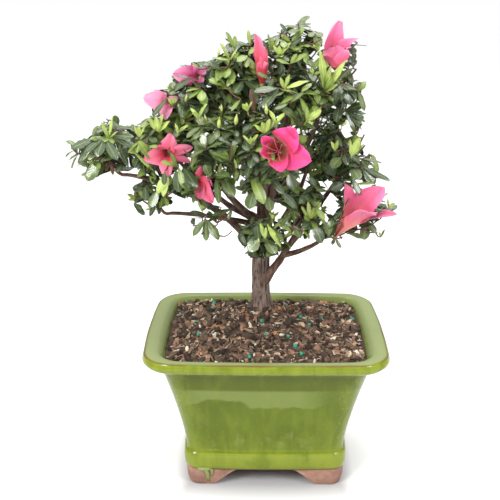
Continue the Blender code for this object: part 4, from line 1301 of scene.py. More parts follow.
@dataclass
class GlazedPot:
    """The bowl, its four feet and the drip of glaze on one of them."""

    centre: tuple[float, float] = (24.0, -23.0)
    height: float = 130.0
    rim_half: float = 101.5
    rim_depth: float = 77.2
    rim_band: float = 8.5
    rim_corner: float = 27.0
    rim_bulge: float = 0.7
    body_top: float = 117.5
    body_top_half: float = 88.0
    waist: float = 38.0
    waist_half: float = 68.5
    flare: float = 1.3
    corner: float = 13.0
    top_corner: float = 19.0
    base_half: float = 70.2
    base_top: float = 33.5
    foot_height: float = 17.5
    foot_wall: float = 14.0
    foot_wing_x: float = 48.5
    foot_wing_y: float = 37.0
    foot_inset: float = 1.5
    foot_cove: float = 22.5
    wall: float = 6.5
    lip_flat: float = 11.0
    lip_slope: float = 7.0
    lip_drop: float = 4.5
    opening_corner: float = 15.0
    side_bow: float = 1.6
    inner_extra: float = 1.5
    corner_steps: int = 12
    side_steps: int = 14
    unevenness: float = 0.25
    drip_rows: float = 14.0
    drip_lead: float = 1.0
    drip_lean: float = 1.6
    # Each prong of the run on the foot: columns and rows in the photograph, and radii
    drips: tuple = (((198, 468.0, 1.6), (204, 468.6, 2.2), (212, 468.2, 1.6)),
                    ((205, 468, 2.2), (207, 472, 2.0), (208, 476, 1.6), (208.4, 480.5, 1.1)),
                    ((211, 468, 1.8), (212, 472, 1.3), (212.2, 475, 0.8)))

    def ring(self, level: ProfilePoint) -> list[tuple[float, float, float]]:
        """Lay one level ring round the pot.

        Args:
            level: The level's half width, height and corner radius.

        Returns:
            The ring's points in mm, about the pot's own centre.
        """
        half_w = level.half
        half_d = level.half * self.rim_depth / self.rim_half + level.extra_depth
        ring = []
        for quarter, (sx, sy) in enumerate(((1, -1), (1, 1), (-1, 1), (-1, -1))):
            for step in range(self.corner_steps + 1):
                angle = math.radians(-90 + 90 * quarter + 90 * step / self.corner_steps)
                x = sx * (half_w - level.corner) + level.corner * math.cos(angle)
                y = sy * (half_d - level.corner) + level.corner * math.sin(angle)
                ring.append((x, y, level.height))
            upright = quarter % 2 == 0
            reach = (half_d if upright else half_w) - level.corner
            for step in range(1, self.side_steps):
                t = 1 - 2 * step / self.side_steps
                bow = self.side_bow * (1 - t * t)
                if upright:
                    ring.append((sx * (half_w + bow), -sx * reach * t, level.height))
                else:
                    ring.append((sy * reach * t, sy * (half_d + bow), level.height))
        return ring

    def body_half(self, height: float) -> float:
        """Work out the bowl's half width: a concave flare from its waist.

        Args:
            height: The height in mm.

        Returns:
            The half width there in mm.
        """
        share = max(0.0, (height - self.waist) / (self.body_top - self.waist))
        return self.waist_half + (self.body_top_half - self.waist_half) * share ** self.flare

    def profile(self) -> list[ProfilePoint]:
        """List the bowl's levels.

        Returns:
            The levels from the underside up the outside, over the lip, and down to the floor.
        """
        base, corner = self.base_half, self.corner
        levels = [ProfilePoint(base - 30.0, self.foot_height, 6.0, bare=1.0),
                  ProfilePoint(base - 2.4, self.foot_height, corner - 2.4, bare=1.0),
                  ProfilePoint(base - 0.8, self.foot_height + 0.4, corner - 0.8, bare=0.9),
                  ProfilePoint(base, self.foot_height + 1.8, corner, thin=0.7, bare=0.45)]
        for share in (0.25, 0.5, 0.75):
            height = self.foot_height + 1.8 + (self.base_top - self.foot_height - 3.6) * share
            levels.append(ProfilePoint(base + 0.5 * math.sin(math.pi * share), height, corner, thin=0.85))
        levels += [ProfilePoint(base, self.base_top - 1.8, corner, thin=0.9),
                   ProfilePoint(base - 0.7, self.base_top - 0.5, corner - 0.7, thin=1.0),
                   ProfilePoint(base - 2.0, self.base_top, corner - 1.5, thin=0.45, bare=0.15)]
        steps = 18
        for step in range(1, steps + 1):
            share = step / steps
            height = self.base_top + (self.body_top - self.base_top) * share
            low = 0.42 * math.exp(-step / 2.2)
            turn = corner + (self.top_corner - corner) * share
            levels.append(ProfilePoint(self.body_half(height), height, turn, thin=low))
        bottom = self.height - self.rim_band
        rim, bulge = self.rim_half, self.rim_bulge
        levels += [ProfilePoint(self.body_top_half + 5.0, self.body_top + 1.6, 21.0, thin=0.05),
                   ProfilePoint(rim - 5.5, bottom - 1.0, self.rim_corner - 5.0, thin=0.2),
                   ProfilePoint(rim - 1.8, bottom - 0.6, self.rim_corner - 1.8, thin=0.55),
                   ProfilePoint(rim - 0.3, bottom + 0.7, self.rim_corner - 0.3, thin=0.8)]
        for share in (0.3, 0.55, 0.8):
            height = bottom + 0.7 + (self.rim_band - 2.9) * share
            half = rim + bulge * math.sin(math.pi * share)
            levels.append(ProfilePoint(half, height, self.rim_corner, thin=0.75))
        levels += [ProfilePoint(rim - 0.2, self.height - 1.6, self.rim_corner, thin=0.8, bare=0.25),
                   ProfilePoint(rim - 0.9, self.height - 0.6, self.rim_corner - 0.9, thin=0.6, bare=0.75),
                   ProfilePoint(rim - 2.0, self.height, self.rim_corner - 2.0, bare=0.55, lip=0.5),
                   ProfilePoint(rim - 3.4, self.height + 0.1, self.rim_corner - 3.0, lip=0.95)]
        edge = rim - self.lip_flat
        opening = edge - self.lip_slope
        deep = self.inner_extra
        levels += [ProfilePoint(rim - 7.0, self.height, 24.0, lip=1.0, extra_depth=deep / 2),
                   ProfilePoint(edge, self.height - 0.2, 22.0, lip=0.95, extra_depth=deep),
                   ProfilePoint(edge - 2.0, self.height - 0.9, 20.0, lip=0.8, extra_depth=deep),
                   ProfilePoint(edge - 4.5, self.height - 2.4, 17.5, lip=0.6, extra_depth=deep),
                   ProfilePoint(opening, self.height - self.lip_drop, self.opening_corner, thin=0.3, lip=0.3,
                                extra_depth=deep)]
        for height in (118.0, 110.0, 85.0, 55.0, 24.0):
            half = self.body_half(height) - self.wall
            levels.append(ProfilePoint(half, height, corner - self.wall + 1.0, extra_depth=deep))
        return levels

    def make_bowl(self) -> bpy.types.Object:
        """Make the glazed bowl.

        Returns:
            The bowl as one closed piece.
        """
        places, values = [], []
        levels = self.profile()
        for level in levels:
            for x, y, z in self.ring(level):
                where = Vector((x, y, z)) / 34.0
                swell = self.unevenness * noise.noise(where) if level.half < self.rim_half else 0.0
                away = Vector((x, y, 0.0)).normalized() * swell
                east, north = self.centre[0] + x + away.x, self.centre[1] + y + away.y
                places.append((east * MM, north * MM, z * MM))
                at_corner = min(abs(x) / level.half, abs(y) / (level.half * self.rim_depth / self.rim_half))
                thin = level.thin + 0.5 * max(0.0, at_corner - 0.72) / 0.28
                values.append((min(1.0, thin), level.bare, level.lip))
        pile = MeshPile("glazed_bowl")
        pile.add_rings(len(levels), np.array(places), np.array(values))
        return pile.piece([GlazeFinish().build()], "glaze", ["pot_bowl"], sharp=70.0)

    def foot_ring(self, share: float, sx: int, sy: int, grow: float = 0.0) -> list[Place]:
        """Lay one level of an L-shaped corner foot.

        Args:
            share: How far down the foot, from 0 at its top to 1 at the ground.
            sx: The corner's side along X.
            sy: The corner's side along Y.
            grow: How much the level is drawn in at a rounded edge, in mm.

        Returns:
            The level's points in metres.
        """
        thickness, inset = self.foot_wall, self.foot_inset
        wing_x, wing_y = self.foot_wing_x, self.foot_wing_y
        depth = self.base_half * self.rim_depth / self.rim_half
        cove = self.foot_cove * share ** 0.7
        tuck = 2.5 * share ** 3 + grow
        half_w, half_d = self.base_half - inset - tuck, depth - inset - tuck
        inner_w, inner_d = self.base_half - inset - thickness + grow, depth - inset - thickness + grow
        corner = self.corner - inset - tuck
        end_x = self.base_half - wing_x + cove + grow
        end_y = depth - wing_y + cove * wing_y / wing_x + grow
        ring = [(end_x, half_d)]
        for step in range(9):
            angle = math.radians(90 - 90 * step / 8)
            x = half_w - corner + corner * math.cos(angle)
            ring.append((x, half_d - corner + corner * math.sin(angle)))
        ring += [(half_w, end_y), (inner_w, end_y), (inner_w, inner_d), (end_x, inner_d)]
        height = (self.foot_height - 0.1) * (1.0 - share)
        return [((self.centre[0] + sx * x) * MM, (self.centre[1] + sy * y) * MM, height * MM)
                for x, y in ring]

    def make_feet(self) -> None:
        """Make the four unglazed feet."""
        clay = ClayFinish().build()
        places = {"front_left": (-1, -1), "front_right": (1, -1), "back_left": (-1, 1), "back_right": (1, 1)}
        for name, (sx, sy) in places.items():
            levels = [(share / 12, 0.0) for share in range(12)] + [(0.985, 0.0), (1.0, 0.8)]
            points = []
            for share, grow in levels:
                ring = self.foot_ring(share, sx, sy, grow)
                points += ring if sx * sy < 0 else list(reversed(ring))
            pile = MeshPile("foot_" + name)
            pile.add_rings(len(levels), np.array(points))
            pile.piece([clay], "clay", ["pot_foot_" + name], sharp=50.0)

    def make_drip(self) -> None:
        """Make the run of glaze that has gone down the front left foot in two prongs."""
        depth = self.centre[1] - self.base_half * self.rim_depth / self.rim_half
        pile = MeshPile("glaze_drip")
        for prong in self.drips:
            path, radii = [], []
            for column, row, radius in prong:
                share = max(0.0, row - prong[0][1]) / self.drip_rows
                lead = depth + self.drip_lead + self.drip_lean * share ** 3
                path.append(CAMERA.at_depth(column, row, lead * MM))
                radii.append(radius * MM)
            points, sizes, _ = smooth_path(path, radii, 0.8 * MM)
            add_tube(pile, points, sizes, 12, relief=lambda index, angle: (0.0, 1.0))
        finish = GlazeFinish("glaze_drip", leaf=(0.20, 0.36, 0.02))
        pile.piece([finish.build()], "glaze", ["pot_foot_front_left"])

    def build(self) -> None:
        """Make every piece of the pot."""
        self.make_bowl()
        self.make_feet()
        self.make_drip()


# Soil


@dataclass
class SoilBed:
    """Coarse potting soil: a rough bed, bark chips and crumbs on it, and fertiliser beads."""

    pot: GlazedPot
    trunk_foot: tuple[float, float] = (20.5, 4.0)
    edge_height: float = 124.2
    seat_height: float = 137.0
    seat_radius: float = 11.0
    half_x: float = 82.0
    half_y: float = 64.0
    quiet_radius: float = 14.0
    bed_depth: float = 12.0
    bed_foot: float = 0.925
    mound: float = 1.6
    rings: int = 56
    roughness: float = 1.5
    chips: int = 3800
    fibres: int = 150
    bead_radius: float = 1.9
    bead_level: float = 128.0
    stray_beads: int = 6
    chip_clear: float = 9.0
    fibre_clear: float = 12.0
    lip_clear: float = 2.0
    bead_clear: float = 3.0

    def edge(self) -> list[tuple[float, float, float]]:
        """Return the ring in which the soil meets the pot."""
        half = self.pot.rim_half - self.pot.lip_flat - self.pot.lip_slope + 0.6
        return self.pot.ring(ProfilePoint(half, self.edge_height, self.pot.opening_corner,
                                          extra_depth=self.pot.inner_extra))

    def level(self, x: float, y: float) -> float:
        """Work out the soil's height.

        Args:
            x: A place across the pot, in mm.
            y: A place along the pot, in mm.

        Returns:
            The height of the rough surface there, in mm.
        """
        dx, dy = x - self.trunk_foot[0], y - self.trunk_foot[1]
        away = math.hypot(dx, dy)
        rx = max(1.0, (self.half_x - (self.trunk_foot[0] - self.pot.centre[0]) * math.copysign(1, dx)))
        ry = max(1.0, (self.half_y - (self.trunk_foot[1] - self.pot.centre[1]) * math.copysign(1, dy)))
        out = min(1.0, max(abs(dx) / rx, abs(dy) / ry))
        share = 1.0 - max(0.0, out - self.seat_radius / self.half_x)
        height = self.edge_height + (self.seat_height - self.edge_height) * min(1.0, share) ** self.mound
        where = Vector((x, y, 0.0))
        lumps = noise.noise(where / 9.0) * 1.3 + noise.noise(where / 3.6)
        lumps += noise.noise(where / 1.7) * 0.5
        quiet = min(1.0, away / self.quiet_radius)
        return height + self.roughness * lumps * (0.35 + 0.65 * quiet) * min(1.0, (1.0 - out) * 12 + 0.4)

    def make_bed(self) -> None:
        """Make the rough surface that the chips lie on."""
        edge = self.edge()
        shrink = self.bed_foot
        low = [(shrink * x, shrink * y, self.edge_height - self.bed_depth) for x, y, _ in edge]
        rows = [[(self.pot.centre[0] + x, self.pot.centre[1] + y, z) for x, y, z in low]]
        for step in range(self.rings + 1):
            share = step / self.rings
            row = []
            for x, y, _ in edge:
                px, py = self.pot.centre[0] + x, self.pot.centre[1] + y
                dx, dy = px - self.trunk_foot[0], py - self.trunk_foot[1]
                keep = (1.0 - share) + share * 2.0 / math.hypot(dx, dy)
                qx, qy = self.trunk_foot[0] + dx * keep, self.trunk_foot[1] + dy * keep
                row.append((qx, qy, self.level(qx, qy)))
            rows.append(row)
        pile = MeshPile("soil_bed")
        pile.add_rings(len(rows), np.array(rows).reshape(-1, 3) * MM)
        finish = GrainFinish("soil_dark", (0.075, 0.045, 0.028), 0.30, 0.95, 300.0, 0.0016)
        pile.piece([finish.build()], "soil", ["soil"], sharp=80.0)

    def inside(self, x: float, y: float, margin: float) -> bool:
        """Tell whether a place is over the soil.

        Args:
            x: A place across the pot, in mm from its centre.
            y: A place along the pot, in mm from its centre.
            margin: How far it must keep from the lip, in mm.

        Returns:
            Whether it is.
        """
        half_w = self.pot.rim_half - self.pot.lip_flat - self.pot.lip_slope - margin
        half_d = half_w * self.pot.rim_depth / self.pot.rim_half + self.pot.inner_extra
        corner = self.pot.opening_corner
        over_x, over_y = abs(x) - (half_w - corner), abs(y) - (half_d - corner)
        return math.hypot(max(0.0, over_x), max(0.0, over_y)) < corner

    def chip(self, rng: random.Random, size: Place, spot: Vector, tilt: float) -> np.ndarray:
        """Shape one chip or crumb.

        Args:
            rng: The source of its uneven shape.
            size: Its length, width and thickness, in mm.
            spot: Where it lies, in mm.
            tilt: How far it may lean, in radians.

        Returns:
            Its vertices in metres: two rings of six.
        """
        turn = rng.uniform(0, 2 * math.pi)
        lean_x, lean_y = rng.uniform(-tilt, tilt), rng.uniform(-tilt, tilt)
        points = []
        for level in (-0.5, 0.5):
            for k in range(6):
                angle = 2 * math.pi * k / 6
                x = size[0] / 2 * math.cos(angle) * rng.uniform(0.75, 1.15)
                y = size[1] / 2 * math.sin(angle) * rng.uniform(0.75, 1.15)
                z = level * size[2] * rng.uniform(0.7, 1.2) + x * math.tan(lean_x) + y * math.tan(lean_y)
                across = x * math.cos(turn) - y * math.sin(turn)
                points.append((across, x * math.sin(turn) + y * math.cos(turn), z))
        return (np.array(points) + np.array(spot)) * MM

    def make_chips(self) -> None:
        """Scatter bark chips, crumbs and straw over the bed, each kind a colour of its own."""
        rng = random.Random(SEED + 5)
        kinds = (("crumbs_dark", (0.050, 0.030, 0.020), 0.24, (3.6, 2.8, 2.1)),
                 ("chips_brown", (0.130, 0.082, 0.052), 0.26, (4.6, 2.9, 1.9)),
                 ("chips_red", (0.290, 0.160, 0.100), 0.17, (5.8, 2.6, 1.3)),
                 ("chips_tan", (0.520, 0.375, 0.250), 0.17, (5.0, 2.1, 1.0)),
                 ("chips_pale", (0.780, 0.690, 0.540), 0.12, (4.2, 1.8, 0.9)),
                 ("chips_orange", (0.480, 0.200, 0.080), 0.03, (3.6, 2.2, 1.2)))
        for name, colour, share, size in kinds:
            pile = MeshPile(name)
            for _ in range(round(self.chips * share)):
                x = rng.uniform(-1, 1) * self.pot.rim_half
                y = rng.uniform(-1, 1) * self.pot.rim_depth
                grow = 0.45 + 1.35 * rng.random() ** 1.6
                at = Vector((self.pot.centre[0] + x, self.pot.centre[1] + y, 0.0))
                near = math.hypot(at.x - self.trunk_foot[0], at.y - self.trunk_foot[1])
                if near < self.chip_clear or not self.inside(x, y, self.lip_clear):
                    continue
                at.z = self.level(at.x, at.y) + size[2] * grow * rng.uniform(0.1, 0.5)
                shape = self.chip(rng, tuple(part * grow for part in size), at, 0.55)
                pile.add_rings(2, shape)
            pile.piece([GrainFinish(name, colour).build()], "soil", ["soil"], sharp=30.0)

    def make_beads(self) -> None:
        """Lay the round teal fertiliser beads, most of them where the photograph shows them."""
        rng = random.Random(SEED + 9)
        spots = []
        for column, row in BEADS:
            at = CAMERA.on_level(column, row, self.bead_level * MM) / MM
            spots.append((at.x, at.y))
        for _ in range(self.stray_beads):
            dx, dy = rng.uniform(-70, 70), rng.uniform(-50, 55)
            spots.append((self.pot.centre[0] + dx, self.pot.centre[1] + dy))
        pile = MeshPile("fertiliser_beads")
        rows, across = 7, 10
        for x, y in spots:
            if not self.inside(x - self.pot.centre[0], y - self.pot.centre[1], self.bead_clear):
                continue
            radius = self.bead_radius * rng.uniform(0.8, 1.15)
            centre = Vector((x, y, self.level(x, y) + radius * 0.7))
            shape = []
            for row in range(rows):
                polar = math.pi * (row + 0.35) / (rows - 0.3)
                for k in range(across):
                    angle = 2 * math.pi * k / across
                    flat = math.sin(polar)
                    ray = Vector((flat * math.cos(angle), flat * math.sin(angle), -math.cos(polar)))
                    shape.append((centre + ray * radius * (1 + 0.08 * noise.noise(ray * 2 + centre))) * MM)
            pile.add_rings(rows, np.array(shape))
        finish = GrainFinish("bead_teal", (0.030, 0.270, 0.175), 0.55, 0.45, 500.0, 0.0004)
        pile.piece([finish.build()], "soil", ["soil"], sharp=60.0)

    def make_fibres(self) -> None:
        """Strew thin curved root fibres and straws over the bed."""
        rng = random.Random(SEED + 13)
        pile = MeshPile("fibres")
        for _ in range(self.fibres):
            x = rng.uniform(-1, 1) * self.pot.rim_half
            y = rng.uniform(-1, 1) * self.pot.rim_depth
            turn, length = rng.uniform(0, math.pi), rng.uniform(6.0, 15.0)
            bend, radius = rng.uniform(-0.3, 0.3), rng.uniform(0.22, 0.42)
            path = []
            for k in range(4):
                along = (k / 3 - 0.5) * length
                side = bend * length * (1 - (2 * k / 3 - 1) ** 2)
                px = x + along * math.cos(turn) - side * math.sin(turn)
                py = y + along * math.sin(turn) + side * math.cos(turn)
                if not self.inside(px, py, self.lip_clear):
                    break
                at = Vector((self.pot.centre[0] + px, self.pot.centre[1] + py, 0.0))
                if math.hypot(at.x - self.trunk_foot[0], at.y - self.trunk_foot[1]) < self.fibre_clear:
                    break
                at.z = self.level(at.x, at.y) + 1.6 + rng.uniform(-0.3, 0.6)
                path.append(at * MM)
            if len(path) == 4:
                points, sizes, _ = smooth_path(path, [radius * MM] * 4, 2.0 * MM)
                add_tube(pile, points, sizes, 5)
        pile.piece([GrainFinish("fibre_straw", (0.40, 0.27, 0.17), 0.5).build()], "soil", ["soil"])

    def build(self) -> None:
        """Make every piece of the soil."""
        self.make_bed()
        self.make_chips()
        self.make_fibres()
        self.make_beads()


# Limbs


@dataclass
class Limb:
    """A trunk or bough: its points in metres, and its radius at each."""

    points: list[Vector]
    radii: list[float]

    def at(self, share: float) -> Vector:
        """Find a point of the limb.

        Args:
            share: How far along its points, from 0 to 1.

        Returns:
            The point in metres.
        """
        place = share * (len(self.points) - 1)
        index = min(int(place), len(self.points) - 2)
        return self.points[index].lerp(self.points[index + 1], place - index)

    def tip_direction(self) -> Vector:
        """Return the direction in which the limb ends."""
        return (self.points[-1] - self.points[-2]).normalized()


def bezier(start: Vector, control: Vector, end: Vector, share: float) -> Vector:
    """Return the point at a share of a quadratic curve."""
    rest = 1.0 - share
    return start * rest * rest + control * (2 * rest * share) + end * share * share


@dataclass
class Limbs:
    """The trunk and the boughs, on the same paths as their solids."""

    foot: Place = (20.5, 4.0, 137.3)
    top: Place = (21.5, 8.0, 215.0)
    sway: Place = (-2.5, -2.0, 0.0)
    radius: float = 8.1
    top_radius: float = 7.0
    flare: float = 3.6
    flare_height: float = 4.5
    dome_height: float = 2.6
    dome_radius: float = 4.3
    steps: int = 11
    step_power: float = 1.25
    bough_step: float = 16.0
    kink: float = 0.9
    taper: float = 0.8
    limbs: dict[str, Limb] = field(default_factory=dict)
    tree: BVHTree | None = None

    def plan(self) -> None:
        """Lay out the trunk and every bough by the same rule as the solids."""
        foot, top = Vector(self.foot) * MM, Vector(self.top) * MM
        control = (foot + top) / 2 + Vector(self.sway) * MM
        points, radii = [], []
        for step in range(self.steps):
            share = (step / (self.steps - 1)) ** self.step_power
            points.append(bezier(foot, control, top, share))
            radius = self.radius + (self.top_radius - self.radius) * share
            radii.append(radius * MM + self.flare_at(points[-1]))
        points.append(top + Vector((0.0, 0.0, self.dome_height * MM)))
        radii.append(self.dome_radius * MM)
        self.limbs["trunk"] = Limb(points, radii)
        rng = random.Random(SEED)
        for bough in BOUGHS:
            self.limbs[bough.name] = self.plan_bough(bough, rng)
        self.tree = self.search_tree()

    def flare_at(self, point: Vector) -> float:
        """Return how far the root flare stands out at a point of the trunk, in metres."""
        return self.flare * MM * math.exp(-(point.z / MM - self.foot[2]) / self.flare_height)

    def plan_bough(self, bough: Bough, rng: random.Random) -> Limb:
        """Lay out one bough.

        Args:
            bough: Its row.
            rng: The source of its kinks.

        Returns:
            The bough as a bent, slightly kinked limb.
        """
        start = self.limbs[bough.parent].at(bough.leaves_at)
        end = Vector(bough.tip) * MM
        control = (start + end) / 2 + Vector(bough.bend) * 2 * MM
        steps = max(4, round((end - start).length / (self.bough_step * MM)))
        points, radii = [], []
        for step in range(steps + 1):
            share = step / steps
            point = bezier(start, control, end, share)
            if 0 < step < steps - 1:
                point += Vector([rng.uniform(-self.kink, self.kink) * MM for _ in range(3)])
            points.append(point)
            taper = (bough.tip_radius - bough.base_radius) * share ** self.taper
            radii.append((bough.base_radius + taper) * MM)
        return Limb(points, radii)

    def search_tree(self) -> BVHTree:
        """Lay every limb out as a plain tube.

        Returns:
            A search tree of the tubes' faces.
        """
        pile = MeshPile("search")
        for limb in self.limbs.values():
            add_tube(pile, limb.points, [radius + 0.3 * MM for radius in limb.radii], 8)
        return BVHTree.FromPolygons(np.concatenate(pile.places).tolist(), pile.faces)

    def trunk_relief(self, path: list[Vector]) -> Callable:
        """Shape the trunk's ridges, furrows and root lobes.

        Args:
            path: The trunk's centre line.

        Returns:
            The relief as a function of ring number and angle.
        """
        def relief(index: int, angle: float) -> tuple[float, float]:
            """Work out how far the bark stands out.

            Args:
                index: The ring's number.
                angle: The angle round it.

            Returns:
                The relief in metres, and its mark from 0 to 1.
            """
            height = path[index].z / MM
            turn = Vector((math.cos(angle), math.sin(angle), 0.0))
            long = noise.noise(turn * 2.1 + Vector((0, 0, height / 26.0)))
            strips = noise.noise(turn * 5.2 + Vector((7, 0, height / 15.0 + 0.8 * long)))
            flakes = noise.noise(turn * 11.0 + Vector((0, 9, height / 6.5)))
            furrow = max(0.0, 1.0 - abs(strips) / 0.16)
            lobe = self.flare_at(path[index]) * 0.45 * math.cos(4 * angle)
            out = 0.75 * long + 0.55 * abs(strips) - 0.75 * furrow + 0.30 * flakes
            mark = 0.55 + 0.9 * abs(strips) + 0.5 * flakes - 0.6 * furrow
            return lobe + out * MM, min(1.0, max(0.0, mark))
        return relief

    def bough_relief(self, radii: list[float], runs: list[float], seed: float) -> Callable:
        """Shape a bough's collar, its swellings and its fine ridges.

        Args:
            radii: The bough's radius at each ring.
            runs: Each ring's distance from the bough's start.
            seed: A number of its own.

        Returns:
            The relief as a function of ring number and angle.
        """
        def relief(index: int, angle: float) -> tuple[float, float]:
            """Work out how far the bark stands out.

            Args:
                index: The ring's number.
                angle: The angle round it.

            Returns:
                The relief in metres, and its mark from 0 to 1.
            """
            run, radius = runs[index] / MM, radii[index]
            collar = 0.30 * math.exp(-run / 6.0)
            knots = 0.16 * max(0.0, noise.noise(Vector((run / 7.0, seed, 0.0))))
            turn = Vector((math.cos(angle) * 2.4, math.sin(angle) * 2.4, run / 11.0 + seed))
            ridge = noise.noise(turn)
            fine = noise.noise(turn * 2.6)
            out = radius * (collar + knots + 0.10 * ridge + 0.07 * fine)
            return out, min(1.0, max(0.0, 0.5 + 0.8 * ridge + 0.7 * fine))
        return relief

    def build(self) -> None:
        """Make the trunk's and the boughs' bark."""
        old = BarkFinish("bark_trunk", (0.180, 0.135, 0.108), (0.030, 0.015, 0.011), (0.095, 0.052, 0.038))
        young = BarkFinish("bark_boughs", (0.175, 0.110, 0.080), (0.060, 0.028, 0.018),
                           (0.110, 0.050, 0.032), 340.0)
        trunk = self.limbs["trunk"]
        below = Vector(self.foot) * MM - Vector((0, 0, 5.0 * MM))
        points, radii = [below] + trunk.points, [trunk.radii[0] + 2.2 * MM] + trunk.radii
        path, sizes, _ = smooth_path(points, radii, 1.1 * MM)
        pile = MeshPile("trunk_bark")
        add_tube(pile, path, sizes, 60, relief=self.trunk_relief(path))
        pile.piece([old.build()], "bark", ["trunk"], sharp=75.0)
        pile = MeshPile("boughs_bark")
        for number, bough in enumerate(BOUGHS):
            limb = self.limbs[bough.name]
            path, sizes, runs = smooth_path(limb.points, limb.radii, 1.4 * MM)
            sides = 10 + round(limb.radii[0] / MM * 2)
            add_tube(pile, path, sizes, sides, relief=self.bough_relief(sizes, runs, 3.7 * number))
        pile.piece([young.build()], "bark", [bough.name for bough in BOUGHS], sharp=75.0)


# Leaves


@dataclass(frozen=True)
class LeafShape:
    """A leaf's outline and its bends, as shares of its length and half width."""

    rows: tuple[float, ...] = (0.12, 0.36, 0.62, 0.84, 0.96)
    across: tuple[float, ...] = (-1.0, -0.52, 0.0, 0.52, 1.0)
    base: float = 0.9
    end: float = 1.75
    blunt: float = 0.72
    thickness: float = 0.012
    ripple: float = 0.018

    def half_width(self, along: float) -> float:
        """Work out the outline.

        Args:
            along: A share of the length.

        Returns:
            The half width there, as a share of its most.
        """
        most = (self.base / (self.base + self.end * self.blunt)) ** (1 / self.end)
        return self.outline(along) / self.outline(most)

    def outline(self, along: float) -> float:
        """Return the outline's curve at a share of the length."""
        return along ** self.base * (1.0 - along ** self.end) ** self.blunt

    def grid(self) -> tuple[np.ndarray, list[np.ndarray]]:
        """Lay out the leaf's two sides, which share their outline.

        Returns:
            Each vertex as along, across and side (1 above, -1 below, 0 on the outline), and
            the arrays of faces: quads and triangles above, then quads and triangles below.
        """
        rows, wide = len(self.rows), len(self.across)
        points = [(0.0, 0.0, 0.0), (1.0, 0.0, 0.0)]
        above, below = {}, {}
        for i, along in enumerate(self.rows):
            for j, across in enumerate(self.across):
                at_edge = j in (0, wide - 1)
                above[i, j] = len(points)
                points.append((along, across, 0.0 if at_edge else 1.0))
                below[i, j] = above[i, j]
                if not at_edge:
                    below[i, j] = len(points)
                    points.append((along, across, -1.0))
        faces = []
        for side, flip in ((above, False), (below, True)):
            quads, triangles = [], []
            for j in range(wide - 1):
                for i in range(rows - 1):
                    quads.append((side[i, j], side[i + 1, j], side[i + 1, j + 1], side[i, j + 1]))
                triangles.append((0, side[0, j], side[0, j + 1]))
                triangles.append((side[rows - 1, j], 1, side[rows - 1, j + 1]))
            for group in (quads, triangles):
                faces.append(np.array([tuple(reversed(face)) if not flip else face for face in group]))
        return np.array(points), faces


@dataclass(frozen=True)
class LeafPose:
    """One leaf: its root and frame in metres, its size, and how it folds, droops and twists."""

    root: Vector
    direction: Vector
    normal: Vector
    length: float
    width: float
    fold: float
    droop: float
    curl: float


class LeafMaker:
    """Places copies of one leaf shape into piles."""

    def __init__(self, shape: LeafShape) -> None:
        """Lay out the shape once."""
        self.shape = shape
        self.points, self.faces = shape.grid()
        self.half = np.array([shape.half_width(min(0.999, along)) if 0 < along < 1 else 0.0
                              for along in self.points[:, 0]])

    def place(self, pile: MeshPile, pose: LeafPose, number: float) -> None:
        """Add one leaf to a pile.

        Args:
            pile: The pile of its tint, with the upper side in slot 0 and the lower in slot 1.
            pose: Where and how it stands.
            number: A value of its own, from 0 to 1, for its third mark.
        """
        along, across, side = self.points.T
        x = along * pose.length
        y = across * self.half * pose.width / 2
        arch = pose.droop * pose.length * along ** 2
        keel = pose.fold * np.abs(y) - pose.curl * (2 * y / pose.width) ** 2 * pose.width
        ripple = self.shape.ripple * pose.length * np.sin(along * 11.0 + number * 6.0) * across
        z = keel - arch + ripple + side * self.shape.thickness * pose.length
        sideways = pose.direction.cross(pose.normal).normalized()
        places = (np.array(pose.root) + np.outer(x, pose.direction) + np.outer(y, sideways)
                  + np.outer(z, pose.normal))
        values = np.stack([along, across, np.full(len(along), number)], axis=1)
        pile.add(places, self.faces, (0, 0, 1, 1), values)


# Foliage


@dataclass
class FoliageRule:
    """How a mass grows: its stem, its twigs, the finer shoots, and the whorls on them."""

    stem_reach: float = 0.78
    stem_knee: float = 0.35
    extra_twigs: int = 2
    twig_reach: tuple[float, float] = (0.46, 0.58)
    twig_sag: float = 0.10
    fork_step: float = 0.16
    spread: float = 1.9
    shoot_level: float = 0.56
    leaf_level: float = 0.36
    deep_level: float = 1.25
    shoot_spacing: float = 12.0
    shoot_tries: int = 1400
    shoot_cast: float = 1.45
    shoot_sag: float = 0.12
    shortest_shoot: float = 3.0
    leaf_length: float = 16.8
    leaf_width: float = 7.9
    whorl: tuple[int, int] = (6, 8)
    leaf_gap: float = 2.3
    leaf_tries: int = 5
    trunk_spray_at: float = 0.74
    trunk_spray_rise: float = 0.35
    space_margin: float = 0.4
    fresh_share: float = 0.18
    bud_share: float = 0.06
    old_share: float = 0.05
    tuft: tuple[int, int] = (4, 6)
    tuft_stem: float = 3.5
    tuft_leaf: tuple[float, float] = (10.5, 15.0)
    bud_length: tuple[float, float] = (8.0, 10.0)
    bud_radius: tuple[float, float] = (1.5, 1.9)
    tones: Place = (0.40, 0.39, 0.21)
    twig_radii: Place = (1.0, 0.85, 0.65)
    shoot_radii: Place = (0.70, 0.58, 0.48)
    spray_radii: Place = (0.7, 0.6, 0.5)
    tuft_radii: Place = (0.55, 0.5, 0.4)
    seen_share: float = 0.6
    seen_pixels: float = 5.5
    spot_pixels: float = 16.0
    spot_depth: float = 0.62
    depth_cost: float = 160.0
    view_depth: float = 6.0


@dataclass
class Shoot:
    """The end of a twig: its place, the way it points, its carrier's fork, and what it bears."""

    fork: Vector
    middle: Vector
    end: Vector
    axis: Vector
    deep: bool = False
    fresh: bool = False
    budded: bool = False


